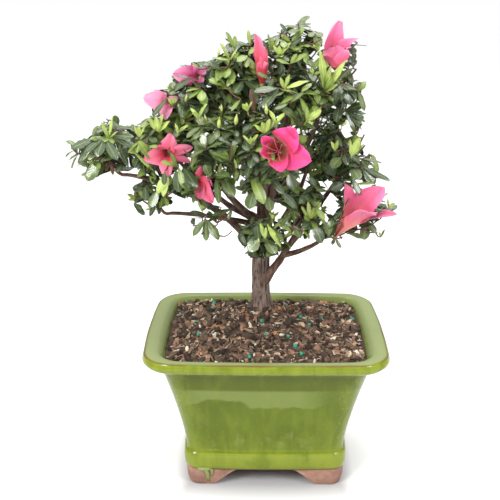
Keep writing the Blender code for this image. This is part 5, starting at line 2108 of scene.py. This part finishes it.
class CrownSpace:
    """The space that the crown fills: each mass's own cell in it, and the sky left open."""

    def __init__(self, rule: FoliageRule) -> None:
        """Lay out the masses as arrays.

        Args:
            rule: The rule that says how far a mass spreads.
        """
        self.rule = rule
        self.centres = np.array([mass.centre for mass in MASSES]) * MM
        self.radii = np.array([mass.radii for mass in MASSES]) * MM * rule.spread
        weights = np.array([mass.weight() for mass in MASSES])
        self.planes = []
        for number in range(len(MASSES)):
            way = np.delete(self.centres, number, axis=0) - self.centres[number]
            far = np.linalg.norm(way, axis=1)
            squares = np.delete((self.centres ** 2).sum(axis=1), number) - (self.centres[number] ** 2).sum()
            offset = (squares + weights[number] - np.delete(weights, number)) / (2 * far)
            self.planes.append((way / far[:, None], offset - rule.space_margin * MM))

    def fullness(self, points: np.ndarray) -> np.ndarray:
        """Tell how deep inside the crown points lie, with neighbouring masses run together.

        Args:
            points: One row for each point, in metres.

        Returns:
            A value for each point: 0 far outside, near 0.4 at the surface of a lone mass.
        """
        away = (points[:, None, :] - self.centres) / self.radii
        return (np.maximum(0.0, 1.0 - (away ** 2).sum(axis=2)) ** 2).sum(axis=1)

    def in_cell(self, number: int, points: np.ndarray) -> np.ndarray:
        """Tell which points lie in a mass's own cell.

        Args:
            number: The mass's place in the rows.
            points: One row for each point, in metres.

        Returns:
            True for each point inside.
        """
        normals, offsets = self.planes[number]
        return (points @ normals.T <= offsets).all(axis=1)

    @staticmethod
    def in_sky(point: Vector) -> bool:
        """Tell whether a point would stand where the photograph shows sky."""
        seen = CAMERA.pixel(point)
        return any(math.hypot(seen.x - column, seen.y - row) < radius for column, row, radius in SKY)


class Foliage:
    """Grows every mass: twigs, shoots, leaves, buds and blooms, joined kind by kind."""

    def __init__(self, limbs: Limbs, rule: FoliageRule) -> None:
        """Start empty piles.

        Args:
            limbs: The limbs that the masses grow on from.
            rule: How they grow.
        """
        self.limbs = limbs
        self.rule = rule
        self.space = CrownSpace(rule)
        self.twigs = MeshPile("twigs")
        self.shoots = MeshPile("shoots_green")
        self.leaves = {kind: MeshPile("leaves_" + kind.value) for kind in Leafing}
        self.buds = MeshPile("buds")
        self.mature = LeafMaker(LeafShape())
        self.young = LeafMaker(LeafShape(base=0.75, end=1.7, blunt=0.85))
        self.taken: dict[tuple[float, int, int, int], list[Vector]] = {}
        self.nodes: list[Vector] = []
        views = [view for mass in MASSES for bloom in mass.blooms for view in self.views_of(bloom)]
        for spray in SEEN_SPRAYS:
            node = CAMERA.at_depth(*spray.node, spray.depth * MM)
            for column, row, nearer, _ in spray.tips:
                tip = CAMERA.at_depth(column, row, (spray.depth - nearer) * MM)
                views.append((*CAMERA.pixel(node.lerp(tip, rule.seen_share)), rule.seen_pixels))
        self.views = np.array(views)

    @staticmethod
    def views_of(bloom: Bloom) -> list[tuple[float, float, float, float]]:
        """Find where a bloom shows in the photograph.

        Args:
            bloom: The bloom.

        Returns:
            For two places on each petal, its column, row and depth, and a radius in pixels.
        """
        views = []
        throat = Vector(bloom.throat) * MM
        calyx = Vector(bloom.calyx) * MM
        for share in (0.3, 0.8):
            seen = CAMERA.pixel(calyx.lerp(throat, share))
            views.append((*seen, CAMERA.focal * bloom.mouth * 0.9 * MM / seen.z))
        for petal in bloom.petals:
            for share in (0.35, 0.8):
                seen = CAMERA.pixel(throat.lerp(Vector(petal.tip) * MM, share))
                views.append((*seen, CAMERA.focal * petal.width * 0.42 * MM / seen.z))
        return views

    def hides_view(self, point: Vector) -> bool:
        """Tell whether a point stands before a bloom or a shown leaf, as the photograph sees it.

        Args:
            point: The point in metres.

        Returns:
            Whether it does.
        """
        seen = CAMERA.pixel(point)
        across, down, depth, radius = self.views.T
        near = np.hypot(across - seen.x, down - seen.y) < radius
        return bool((near & (seen.z < depth + self.rule.view_depth * MM)).any())

    def crowded(self, point: Vector, size: float) -> bool:
        """Tell whether a place is taken, and take it if not.

        Args:
            point: The place in metres.
            size: The least distance between two places, in metres.

        Returns:
            Whether another place of that size lies nearer than that.
        """
        cell = tuple(int(math.floor(value / size)) for value in point)
        for dx in (-1, 0, 1):
            for dy in (-1, 0, 1):
                for dz in (-1, 0, 1):
                    for other in self.taken.get((size, cell[0] + dx, cell[1] + dy, cell[2] + dz), ()):
                        if (other - point).length < size:
                            return True
        self.taken.setdefault((size, *cell), []).append(point)
        return False

    def stem_of(self, mass: Mass) -> tuple[list[Vector], list[float]]:
        """Lay the stem of a mass.

        Args:
            mass: The mass.

        Returns:
            The stem's points and radii, from its limb to its hub.
        """
        limb = self.limbs.limbs[mass.carrier]
        if mass.carrier == "trunk":
            start = limb.at(self.rule.trunk_spray_at)
            way = mass.middle() - start
            way.z = self.rule.trunk_spray_rise * way.length
            way.normalize()
            radius = 1.3 * MM
            first = start + way * self.limbs.radius * MM
        else:
            way = limb.tip_direction()
            start = first = limb.points[-1]
            radius = limb.radii[-1]
        hub = first.lerp(mass.middle(), self.rule.stem_reach)
        knee = first + way * (hub - first).length * self.rule.stem_knee
        return [start, knee, hub], [radius, radius * 0.92, 1.0 * MM]

    def grow_twigs(self, number: int, stem: list[Vector], rng: random.Random) -> list[list[Vector]]:
        """Spread the first twigs evenly over a mass's space.

        Args:
            number: The mass's place in the rows.
            stem: The stem's points.
            rng: The source of its variety.

        Returns:
            Each twig's fork, middle and end.
        """
        mass = MASSES[number]
        count = mass.twigs + self.rule.extra_twigs
        turn = rng.uniform(0, 2 * math.pi)
        back = (stem[0] - mass.middle()).normalized()
        twigs = []
        for index in range(count * 2):
            level = 1.0 - 2.0 * (index + 0.5) / (count * 1.2)
            if level < -1.0 or len(twigs) == count:
                break
            flat = math.sqrt(max(0.0, 1.0 - level * level))
            angle = turn + index * GOLDEN_ANGLE
            ray = Vector((flat * math.cos(angle), flat * math.sin(angle), level))
            reach = rng.uniform(*self.rule.twig_reach)
            end = mass.middle() + Vector([ray[i] * mass.radii[i] * MM for i in range(3)]) * reach
            if ray.dot(back) > 0.8 or not self.space.in_cell(number, np.array([end]))[0]:
                continue
            fork = stem[2].lerp(stem[1], min(1.0, self.rule.fork_step * len(twigs)))
            middle = fork.lerp(end, 0.5) - UP * self.rule.twig_sag * (end - fork).length
            path, sizes, _ = smooth_path([fork, middle, end], in_metres(self.rule.twig_radii), 3.0 * MM)
            add_tube(self.twigs, path, sizes, 6)
            twigs.append([fork, middle, end])
        return twigs

    def plan_shoots(self, number: int, twigs: list, rng: random.Random) -> list[Shoot]:
        """Spread the ends of the finer shoots evenly through a mass's share of the crown.

        Args:
            number: The mass's place in the rows.
            twigs: The first twigs.
            rng: The source of its variety.

        Returns:
            The shoots, each from the nearest twig or shoot before it.
        """
        mass = MASSES[number]
        centre = mass.middle()
        cast = np.random.default_rng(SEED + number)
        reach = self.rule.shoot_cast
        tries = cast.uniform(-reach, reach, (self.rule.shoot_tries, 3))
        tries = tries * np.array(mass.radii) * MM + np.array(centre)
        full = self.space.fullness(tries)
        fits = (full > self.rule.shoot_level) & self.space.in_cell(number, tries)
        ends = [(Vector(point), value) for point, value in zip(tries[fits], full[fits])]
        ends = [(point, value) for point, value in ends
                if not self.space.in_sky(point) and not self.crowded(point, self.rule.shoot_spacing * MM)]
        ends.sort(key=lambda item: (item[0] - twigs[0][0]).length)
        nodes = [twig[1].lerp(twig[2], share) for twig in twigs for share in (0.0, 0.35, 0.7, 1.0)]
        nodes += [twig[0].lerp(twig[1], 0.6) for twig in twigs]
        shoots = []
        for end, value in ends:
            fork = min(nodes, key=lambda node: (node - end).length + 0.5 * max(0.0, node.z - end.z))
            way = end - fork
            if way.length < self.rule.shortest_shoot * MM:
                end = fork + way.normalized() * self.rule.shortest_shoot * MM
            middle = fork.lerp(end, 0.5) + Vector([rng.uniform(-0.7, 0.7) * MM for _ in range(3)])
            middle.z -= self.rule.shoot_sag * way.length
            outward = (end - centre).normalized()
            axis = ((end - middle).normalized() * 0.45 + outward * 0.45 + UP * 0.55).normalized()
            shoots.append(Shoot(fork, middle, end, axis, value > self.rule.deep_level))
            nodes += [middle, middle.lerp(end, 0.7)]
        self.nodes += nodes
        return shoots

    def mark_shown(self, shoots: list[Shoot]) -> None:
        """Give the shoots nearest to the photograph's lime shoots and buds those growths.

        Args:
            shoots: Every shoot of the crown.
        """
        for spots, key in ((FRESH_SHOOTS, "fresh"), (POINTED_BUDS, "budded")):
            for spot in spots:
                best, score = None, self.rule.spot_pixels
                for shoot in shoots:
                    seen = CAMERA.pixel(shoot.end)
                    deeper = (seen.z - self.rule.spot_depth) * self.rule.depth_cost
                    away = (seen.xy - Vector(spot)).length + deeper
                    if away < score and not shoot.fresh and not shoot.budded:
                        best, score = shoot, away
                if best:
                    setattr(best, key, True)

    def grow_whorl(self, number: int, shoot: Shoot, rng: random.Random) -> None:
        """Set leaves round the end of a shoot, old ones lowest, new ones upright at its tip.

        Args:
            number: The mass's place in the rows.
            shoot: The shoot.
            rng: The source of their variety.
        """
        axis = shoot.axis
        twist = rng.uniform(0, 2 * math.pi)
        count = rng.randint(*self.rule.whorl) // (2 if shoot.deep else 1)
        tone = rng.choices((DARK, MID, LIGHT), self.rule.tones)[0]
        back = (shoot.middle - shoot.end).normalized()
        for k in range(count):
            age = 1.0 - k / count
            for attempt in range(self.rule.leaf_tries):
                spin = twist + k * GOLDEN_ANGLE + rng.uniform(-0.25, 0.25) + 0.9 * attempt
                around = ray_round(axis, spin)
                spread = math.radians(48 + 48 * age + rng.uniform(-10, 10))
                direction = (axis * math.cos(spread) + around * math.sin(spread)).normalized()
                direction.z -= rng.uniform(0.0, 0.25)
                direction.normalize()
                size = rng.uniform(0.80, 1.14) * (0.80 + 0.20 * age) * (1.0 - 0.05 * attempt)
                root = shoot.end + back * (0.8 + 4.2 * age) * MM
                kind = OLD if age > 0.95 and rng.random() < self.rule.old_share else tone
                if self.try_leaf(number, self.pose(root, direction, axis, size, rng), kind, rng):
                    break
        if shoot.fresh or rng.random() < self.rule.fresh_share:
            self.grow_new(shoot, rng, 1.05 if shoot.fresh else 0.75)
        elif shoot.budded or rng.random() < self.rule.bud_share:
            self.grow_bud(shoot, rng, 1.0 if shoot.budded else 0.7)

    def pose(self, root: Vector, direction: Vector, axis: Vector, size: float,
             rng: random.Random) -> LeafPose:
        """Work out how a mature leaf stands.

        Args:
            root: Where it leaves the shoot.
            direction: The way it points.
            axis: The shoot's own direction.
            size: Its size beside the usual one.
            rng: The source of its variety.

        Returns:
            The leaf's pose.
        """
        normal = axis * 0.7 + UP * 0.8 + Vector([rng.uniform(-0.3, 0.3) for _ in range(3)])
        normal = square_to(normal, direction)
        length = self.rule.leaf_length * size * MM
        width = self.rule.leaf_width * size * rng.uniform(0.82, 1.12) * MM
        return LeafPose(root, direction, normal, length, width, rng.uniform(0.05, 0.35),
                        rng.uniform(0.02, 0.30), rng.uniform(0.0, 0.10))

    def try_leaf(self, number: int, pose: LeafPose, kind: Leafing, rng: random.Random) -> bool:
        """Add a leaf if it keeps to its space and touches no limb.

        Args:
            number: The mass's place in the rows.
            pose: How the leaf stands.
            kind: Its tint.
            rng: The source of its own number.

        Returns:
            Whether it was added.
        """
        sag = pose.normal * pose.droop * pose.length
        tip = pose.root + pose.direction * pose.length - sag
        middle = pose.root + pose.direction * pose.length * 0.55 - sag * 0.3
        spots = np.array([tip, middle])
        if not self.space.in_cell(number, spots).all():
            return False
        if self.space.fullness(spots).min() < self.rule.leaf_level:
            return False
        for point in (middle, tip):
            if self.space.in_sky(point) or self.hides_view(point):
                return False
            if self.limbs.tree.find_nearest(point, pose.width * 0.5)[0] is not None:
                return False
        if self.crowded(middle, self.rule.leaf_gap * MM):
            return False
        self.mature.place(self.leaves[kind], pose, rng.random())
        return True

    def grow_new(self, shoot: Shoot, rng: random.Random, size: float) -> None:
        """Add a tuft of upright lime-green leaves at the tip of a shoot.

        Args:
            shoot: The shoot.
            rng: The source of the tuft's variety.
            size: Its size beside the usual one.
        """
        if self.hides_view(shoot.end + shoot.axis * 6 * MM) or self.space.in_sky(shoot.end + UP * 8 * MM):
            return
        lead = (shoot.axis + UP * 0.9).normalized()
        top = shoot.end + lead * self.rule.tuft_stem * size * MM
        path = [shoot.end, shoot.end.lerp(top, 0.5), top]
        add_tube(self.shoots, path, in_metres(self.rule.tuft_radii), 6)
        count = rng.randint(*self.rule.tuft)
        for k in range(count):
            spin = k * GOLDEN_ANGLE + rng.uniform(-0.2, 0.2)
            around = ray_round(lead, spin)
            spread = math.radians(16 + 38 * (1 - k / count) + rng.uniform(-5, 5))
            direction = (lead * math.cos(spread) + around * math.sin(spread)).normalized()
            normal = (lead - direction * lead.dot(direction) - around * 0.3)
            normal = square_to(normal, direction)
            length = rng.uniform(*self.rule.tuft_leaf) * size * (0.75 + 0.25 * (1 - k / count)) * MM
            pose = LeafPose(top, direction, normal, length, length * rng.uniform(0.28, 0.40),
                            rng.uniform(0.3, 0.6), rng.uniform(-0.05, 0.12), 0.0)
            self.young.place(self.leaves[NEW], pose, rng.random())

    def grow_bud(self, shoot: Shoot, rng: random.Random, size: float) -> None:
        """Add one pointed bud at the tip of a shoot.

        Args:
            shoot: The shoot.
            rng: The source of the bud's variety.
            size: Its size beside the usual one.
        """
        if self.hides_view(shoot.end + shoot.axis * 5 * MM):
            return
        lead = (shoot.axis + UP * 1.1).normalized()
        length = rng.uniform(*self.rule.bud_length) * size * MM
        radius = rng.uniform(*self.rule.bud_radius) * size * MM
        path = [shoot.end + lead * length * share for share in (0.0, 0.12, 0.3, 0.5, 0.7, 0.86, 1.0)]
        sizes = [radius * share for share in (0.35, 0.75, 1.0, 0.92, 0.62, 0.30, 0.05)]
        add_tube(self.buds, path, sizes, 10)

    def grow_seen(self, spray: Spray, rng: random.Random) -> None:
        """Grow one of the sprays that stand out in the photograph.

        Args:
            spray: The spray.
            rng: The source of its leaves' variety.
        """
        node = CAMERA.at_depth(*spray.node, spray.depth * MM)
        start = min(self.nodes, key=lambda other: (other - node).length)
        middle = start.lerp(node, 0.5) - UP * 0.1 * (node - start).length
        path, radii, _ = smooth_path([start, middle, node], in_metres(self.rule.spray_radii), 2.5 * MM)
        add_tube(self.twigs, path, radii, 6)
        young = spray.kind is NEW
        slim = 0.78 if young else 0.84
        for column, row, nearer, width in spray.tips:
            tip = CAMERA.at_depth(column, row, (spray.depth - nearer) * MM)
            way = tip - node
            normal = UP * 0.8 - CAMERA.axes()[2] * 0.8 + Vector([rng.uniform(-0.2, 0.2) for _ in range(3)])
            normal = (normal - way * normal.dot(way) / way.length_squared).normalized()
            droop = 0.0 if young else rng.uniform(0.02, 0.14)
            aim = (way + normal * droop * way.length).normalized()
            face = square_to(normal, aim)
            pose = LeafPose(node, aim, face, way.length, slim * width * MM, rng.uniform(0.08, 0.25),
                            droop, 0.0 if young else rng.uniform(0.0, 0.08))
            (self.young if young else self.mature).place(self.leaves[spray.kind], pose, rng.random())

    def build(self) -> None:
        """Grow every mass and join what it bears."""
        grown = []
        for number, mass in enumerate(MASSES):
            rng = random.Random(SEED + number * 101)
            stem, sizes = self.stem_of(mass)
            path, radii, _ = smooth_path(stem, sizes, 3.0 * MM)
            add_tube(self.twigs, path, radii, 8)
            twigs = self.grow_twigs(number, stem, rng)
            grown.append((number, rng, self.plan_shoots(number, twigs, rng)))
        self.mark_shown([shoot for *_, shoots in grown for shoot in shoots])
        for number, rng, shoots in grown:
            for shoot in shoots:
                path, radii, _ = smooth_path([shoot.fork, shoot.middle, shoot.end],
                                             in_metres(self.rule.shoot_radii), 2.5 * MM)
                add_tube(self.twigs, path, radii, 5)
                self.grow_whorl(number, shoot, rng)
        rng = random.Random(SEED + 7)
        for spray in SEEN_SPRAYS:
            self.grow_seen(spray, rng)
        self.join()

    def join(self) -> None:
        """Turn the piles into pieces with their finishes."""
        nodes = [mass.name for mass in MASSES]
        bark = BarkFinish("bark_twigs", (0.165, 0.095, 0.062), (0.075, 0.034, 0.020),
                          (0.120, 0.050, 0.030), 500.0)
        self.twigs.piece([bark.build()], "bark", nodes, sharp=75.0)
        green = BarkFinish("shoot_green", (0.30, 0.36, 0.08), (0.20, 0.20, 0.05), (0.30, 0.22, 0.08), 500.0)
        self.shoots.piece([green.build()], "foliage", nodes, sharp=75.0)
        for kind, (colour, rib, roughness, gloss) in LEAF_TINTS.items():
            upper = LeafFinish("leaf_" + kind.value, colour, rib, roughness, gloss)
            pale = tuple(part * 1.35 + 0.012 for part in colour)
            lower = LeafFinish("leaf_" + kind.value + "_under", pale, rib, 0.62, 0.0, 0.25)
            self.leaves[kind].piece([upper.build(), lower.build()], "foliage", nodes, sharp=60.0)
        bud = LeafFinish("bud_lime", (0.56, 0.64, 0.16), (0.66, 0.70, 0.30), 0.45, 0.1)
        self.buds.piece([bud.build()], "foliage", nodes, sharp=75.0)


# Blossom


@dataclass
class BlossomShape:
    """How petals are drawn: their grid, their tube, their thickness and their ruffle, in mm."""

    tube_rows: int = 5
    free_rows: int = 18
    across: int = 15
    base_radius: float = 1.1
    thickness: float = 0.28
    ruffle: float = 0.085
    recurve: float = 0.9
    crease: float = 0.06
    scallop: float = 0.09
    stamens: int = 6
    filament: Place = (0.28, 0.24, 0.20)
    anther: Place = (0.3, 0.55, 0.25)
    stalk: Place = (0.8, 0.7, 0.75)
    cup: tuple[float, ...] = (0.7, 1.7, 2.0, 1.9)


class Blossom:
    """Makes every bloom: petals, stamens, calyx and stalk, joined kind by kind."""

    def __init__(self, shape: BlossomShape, foliage: Foliage) -> None:
        """Start empty piles.

        Args:
            shape: How petals are drawn.
            foliage: The foliage that the stalks grow from.
        """
        self.shape = shape
        self.foliage = foliage
        self.petals = MeshPile("petals")
        self.stamens = MeshPile("stamens")
        self.greens = MeshPile("calyces")
        self.tints = list(Tint)

    def petal(self, bloom: Bloom, index: int, rng: random.Random) -> None:
        """Add one petal, as a closed thin sheet that starts in the bloom's tube.

        Args:
            bloom: The bloom.
            index: Which of its petals.
            rng: The source of its variety.
        """
        shape, petal = self.shape, bloom.petals[index]
        calyx, throat, tip = Vector(bloom.calyx), Vector(bloom.throat), Vector(petal.tip)
        axis = (throat - calyx).normalized()
        out = Vector(petal.side) if any(petal.side) else tip - throat
        out = square_to(out, axis)
        side = axis.cross(out)
        start = throat + out * bloom.mouth
        handle = start + axis * petal.push * (tip - start).length
        phase = rng.uniform(0, 2 * math.pi)
        rows = shape.tube_rows + shape.free_rows
        grid = np.zeros((rows, shape.across, 3))
        values = np.zeros((rows, shape.across, 3))
        base = bloom.mouth * math.tan(math.pi / len(bloom.petals)) * 1.04
        for i in range(rows):
            u = i / (rows - 1)
            free = max(0.0, (i - shape.tube_rows) / (shape.free_rows - 1))
            spot = bezier(start, handle, tip, free)
            along = (bezier(start, handle, tip, min(1.0, free + 0.02))
                     - bezier(start, handle, tip, max(0.0, free - 0.02))).normalized()
            inward = along.cross(side) * (-1 if along.cross(side).dot(out) > 0 else 1)
            swell = max(0.0, math.sin(math.pi * free ** 0.82)) ** 0.5
            wide = max(base * (1.0 - free), petal.width / 2 * swell)
            share = min(1.0, i / shape.tube_rows)
            radius = shape.base_radius + (bloom.mouth - shape.base_radius) * share ** 1.4
            centre = calyx.lerp(throat, share)
            ease = min(1.0, free * 3.0)
            ease = ease * ease * (3 - 2 * ease)
            for j in range(shape.across):
                v = 2 * j / (shape.across - 1) - 1
                spin = v * math.pi / len(bloom.petals) * 1.06
                ring = centre + (out * math.cos(spin) + side * math.sin(spin)) * radius
                bend = petal.cup * v * v + petal.roll * max(0.0, abs(v) - 0.45) ** 2 * 3.0
                margin = abs(v) ** 1.6 * free
                wave = shape.ruffle * petal.width * (margin * math.sin(11.0 * free + 2.2 * v + phase)
                                                     + 0.5 * free * math.sin(3.4 * v + phase))
                crease = -shape.crease * petal.width * math.exp(-(v / 0.14) ** 2) * free * (1.2 - free)
                lobes = math.sin(8.0 * free + 3.0 * phase + 1.3 * math.copysign(1, v))
                scallop = 1.0 + shape.scallop * margin * lobes
                flat = spot + side * v * wide * scallop * (1 - 0.25 * petal.roll * abs(v))
                flat += inward * (bend * wide + wave + crease)
                flat += inward * petal.width * (2.0 * petal.roll - shape.recurve) * max(0.0, free - 0.55) ** 2
                grid[i, j] = ring.lerp(flat, ease)
                values[i, j] = (u, v, index / len(bloom.petals))
        self.add_sheet(self.petals, grid * MM, values, shape.thickness * MM, self.tints.index(bloom.tint))

    @staticmethod
    def add_sheet(pile: MeshPile, grid: np.ndarray, values: np.ndarray, thickness: float, slot: int) -> None:
        """Add a grid of points as a closed sheet whose two sides share their outline.

        Args:
            pile: The pile.
            grid: The middle surface, as rows and columns of points in metres.
            values: Three marks at each point.
            thickness: The thickness inside the outline, in metres.
            slot: The material slot.
        """
        rows, wide, _ = grid.shape
        along = np.gradient(grid, axis=0)
        over = np.gradient(grid, axis=1)
        normal = np.cross(along, over)
        normal /= np.maximum(np.linalg.norm(normal, axis=2, keepdims=True), 1e-12)
        edge = np.ones((rows, wide), bool)
        edge[1:-1, 1:-1] = False
        index = np.arange(rows * wide).reshape(rows, wide)
        lower = index.copy()
        lower[~edge] = rows * wide + np.arange((~edge).sum())
        lift = np.where(edge[..., None], 0.0, normal * thickness / 2)
        places = np.concatenate([(grid + lift).reshape(-1, 3), (grid - lift)[~edge]])
        written = np.concatenate([values.reshape(-1, 3), values[~edge]])
        faces = []
        for side, flip in ((index, False), (lower, True)):
            corners = [side[:-1, :-1], side[1:, :-1], side[1:, 1:], side[:-1, 1:]]
            quads = np.stack(corners, axis=-1).reshape(-1, 4)
            faces.append(quads[:, ::-1] if flip else quads)
        pile.add(places, faces, (slot, slot), written)

    def add_stamens(self, bloom: Bloom, rng: random.Random) -> None:
        """Add the thin filaments that stand out of an open throat, each with its anther.

        Args:
            bloom: The bloom.
            rng: The source of their variety.
        """
        base = Vector(bloom.throat)
        axis = (base - Vector(bloom.calyx)).normalized()
        reach = sum((Vector(petal.tip) - base).length for petal in bloom.petals) / len(bloom.petals)
        for k in range(self.shape.stamens):
            spin = 2 * math.pi * k / self.shape.stamens + rng.uniform(-0.3, 0.3)
            around = ray_round(axis, spin)
            far = reach * rng.uniform(0.45, 0.75)
            end = base + axis * far + around * bloom.mouth * rng.uniform(0.6, 1.3) + UP * 1.5
            middle = base + axis * far * 0.4 + around * bloom.mouth * 0.4
            path = [point * MM for point in (base - axis * 3.0, middle, end)]
            add_tube(self.stamens, path, in_metres(self.shape.filament), 5, slot=0)
            tip = end + axis * 1.3
            add_tube(self.stamens, [end * MM, end.lerp(tip, 0.5) * MM, tip * MM],
                     in_metres(self.shape.anther), 6, slot=1)

    def add_calyx(self, bloom: Bloom, mass: Mass) -> None:
        """Add the green calyx and the stalk that carries the bloom.

        Args:
            bloom: The bloom.
            mass: The mass whose stem it grows from.
        """
        calyx = Vector(bloom.calyx)
        axis = (Vector(bloom.throat) - calyx).normalized()
        stem, _ = self.foliage.stem_of(mass)
        hub = stem[2] / MM
        stalk = [hub, hub.lerp(calyx, 0.55) - axis * 1.5, calyx - axis * 0.6]
        path, radii, _ = smooth_path([point * MM for point in stalk], in_metres(self.shape.stalk), 2.0 * MM)
        add_tube(self.greens, path, radii, 6)
        cup = [calyx + axis * along for along in (-1.0, 0.2, 1.6, 3.0)]
        add_tube(self.greens, [point * MM for point in cup], in_metres(self.shape.cup), 10)

    def build(self) -> None:
        """Make every bloom and join its parts kind by kind."""
        for mass in MASSES:
            for bloom in mass.blooms:
                rng = random.Random(SEED + round(sum(bloom.calyx)))
                for index in range(len(bloom.petals)):
                    self.petal(bloom, index, rng)
                if bloom.stamens:
                    self.add_stamens(bloom, rng)
                self.add_calyx(bloom, mass)
        nodes = [mass.name for mass in MASSES if mass.blooms]
        finishes = [PetalFinish(tint.value, *PETAL_TINTS[tint]).build() for tint in self.tints]
        self.petals.piece(finishes, "blossom", nodes, sharp=80.0)
        filament = GrainFinish("stamen_pink", (0.80, 0.16, 0.28), 0.8, 0.5, 600.0, 0.0001)
        anther = GrainFinish("anther_brown", (0.30, 0.14, 0.06), 0.7, 0.7, 600.0, 0.0001)
        self.stamens.piece([filament.build(), anther.build()], "blossom", nodes, sharp=75.0)
        green = GrainFinish("calyx_green", (0.24, 0.28, 0.07), 0.7, 0.6, 400.0, 0.0002)
        self.greens.piece([green.build()], "foliage", nodes, sharp=75.0)


# Studio


@dataclass(frozen=True)
class SoftLight:
    """One softbox: its name, its place and aim in metres, its sides in metres and its power."""

    name: str
    place: Place
    aim: Place
    size: tuple[float, float]
    power: float

    def build(self) -> None:
        """Make the light."""
        data = bpy.data.lights.new(self.name, "AREA")
        data.shape = "RECTANGLE"
        data.size, data.size_y = self.size
        data.energy = self.power
        made = bpy.data.objects.new(self.name, data)
        made.location = self.place
        made.rotation_euler = (Vector(self.aim) - Vector(self.place)).to_track_quat("-Z", "Y").to_euler()
        bpy.context.scene.collection.objects.link(made)


@dataclass
class Studio:
    """The pale floor, the light from all round, brightest overhead, and the softboxes."""

    floor_half: float = 40.0
    horizon: float = 0.20
    zenith: float = 1.70
    lights: tuple[SoftLight, ...] = (
        SoftLight("softbox_left", (-0.76, -0.92, 1.00), (0.0, 0.0, 0.20), (0.45, 0.5), 18.0),
        SoftLight("softbox_right", (0.92, -0.86, 0.92), (0.0, 0.0, 0.18), (0.35, 0.45), 9.0),
        SoftLight("softbox_top", (0.10, 0.25, 1.35), (0.0, 0.0, 0.20), (1.0, 0.8), 9.0),
    )

    def make_floor(self) -> None:
        """Make the floor."""
        half = self.floor_half
        mesh = bpy.data.meshes.new("floor")
        corners = [(-half, -half, 0), (half, -half, 0), (half, half, 0), (-half, half, 0)]
        mesh.from_pydata(corners, [], [(0, 1, 2, 3)])
        floor = bpy.data.objects.new("floor", mesh)
        bpy.context.scene.collection.objects.link(floor)
        mesh.materials.append(PaperFinish().build())

    def make_sky(self) -> None:
        """Make the even light, dimmer toward the horizon."""
        world = bpy.data.worlds.new("even_light")
        world.use_nodes = True
        tree = world.node_tree
        where = put(tree, "TexCoord").outputs["Generated"]
        rise = put(tree, "SeparateXYZ", {0: where}).outputs[2]
        strength = span(tree, rise, 0.0, 1.0, self.horizon, self.zenith)
        strength = maths(tree, "MAXIMUM", strength, put(tree, "LightPath").outputs["Is Camera Ray"])
        background = tree.nodes["Background"]
        background.inputs["Color"].default_value = (1.0, 1.0, 1.0, 1.0)
        tree.links.new(strength, background.inputs["Strength"])
        bpy.context.scene.world = world

    def build(self) -> None:
        """Make the floor, the sky and the lights."""
        self.make_floor()
        self.make_sky()
        bpy.context.scene.view_settings.view_transform = "Standard"
        for light in self.lights:
            light.build()


def main() -> None:
    """Dress the whole plant and its pot, one sub-assembly after another."""
    logging.basicConfig(level=logging.INFO, format="%(message)s")
    CAMERA.build()
    Studio().build()
    pot = GlazedPot()
    pot.build()
    SoilBed(pot).build()
    limbs = Limbs()
    limbs.plan()
    limbs.build()
    foliage = Foliage(limbs, FoliageRule())
    foliage.build()
    Blossom(BlossomShape(), foliage).build()


if __name__ == "__main__":
    main()
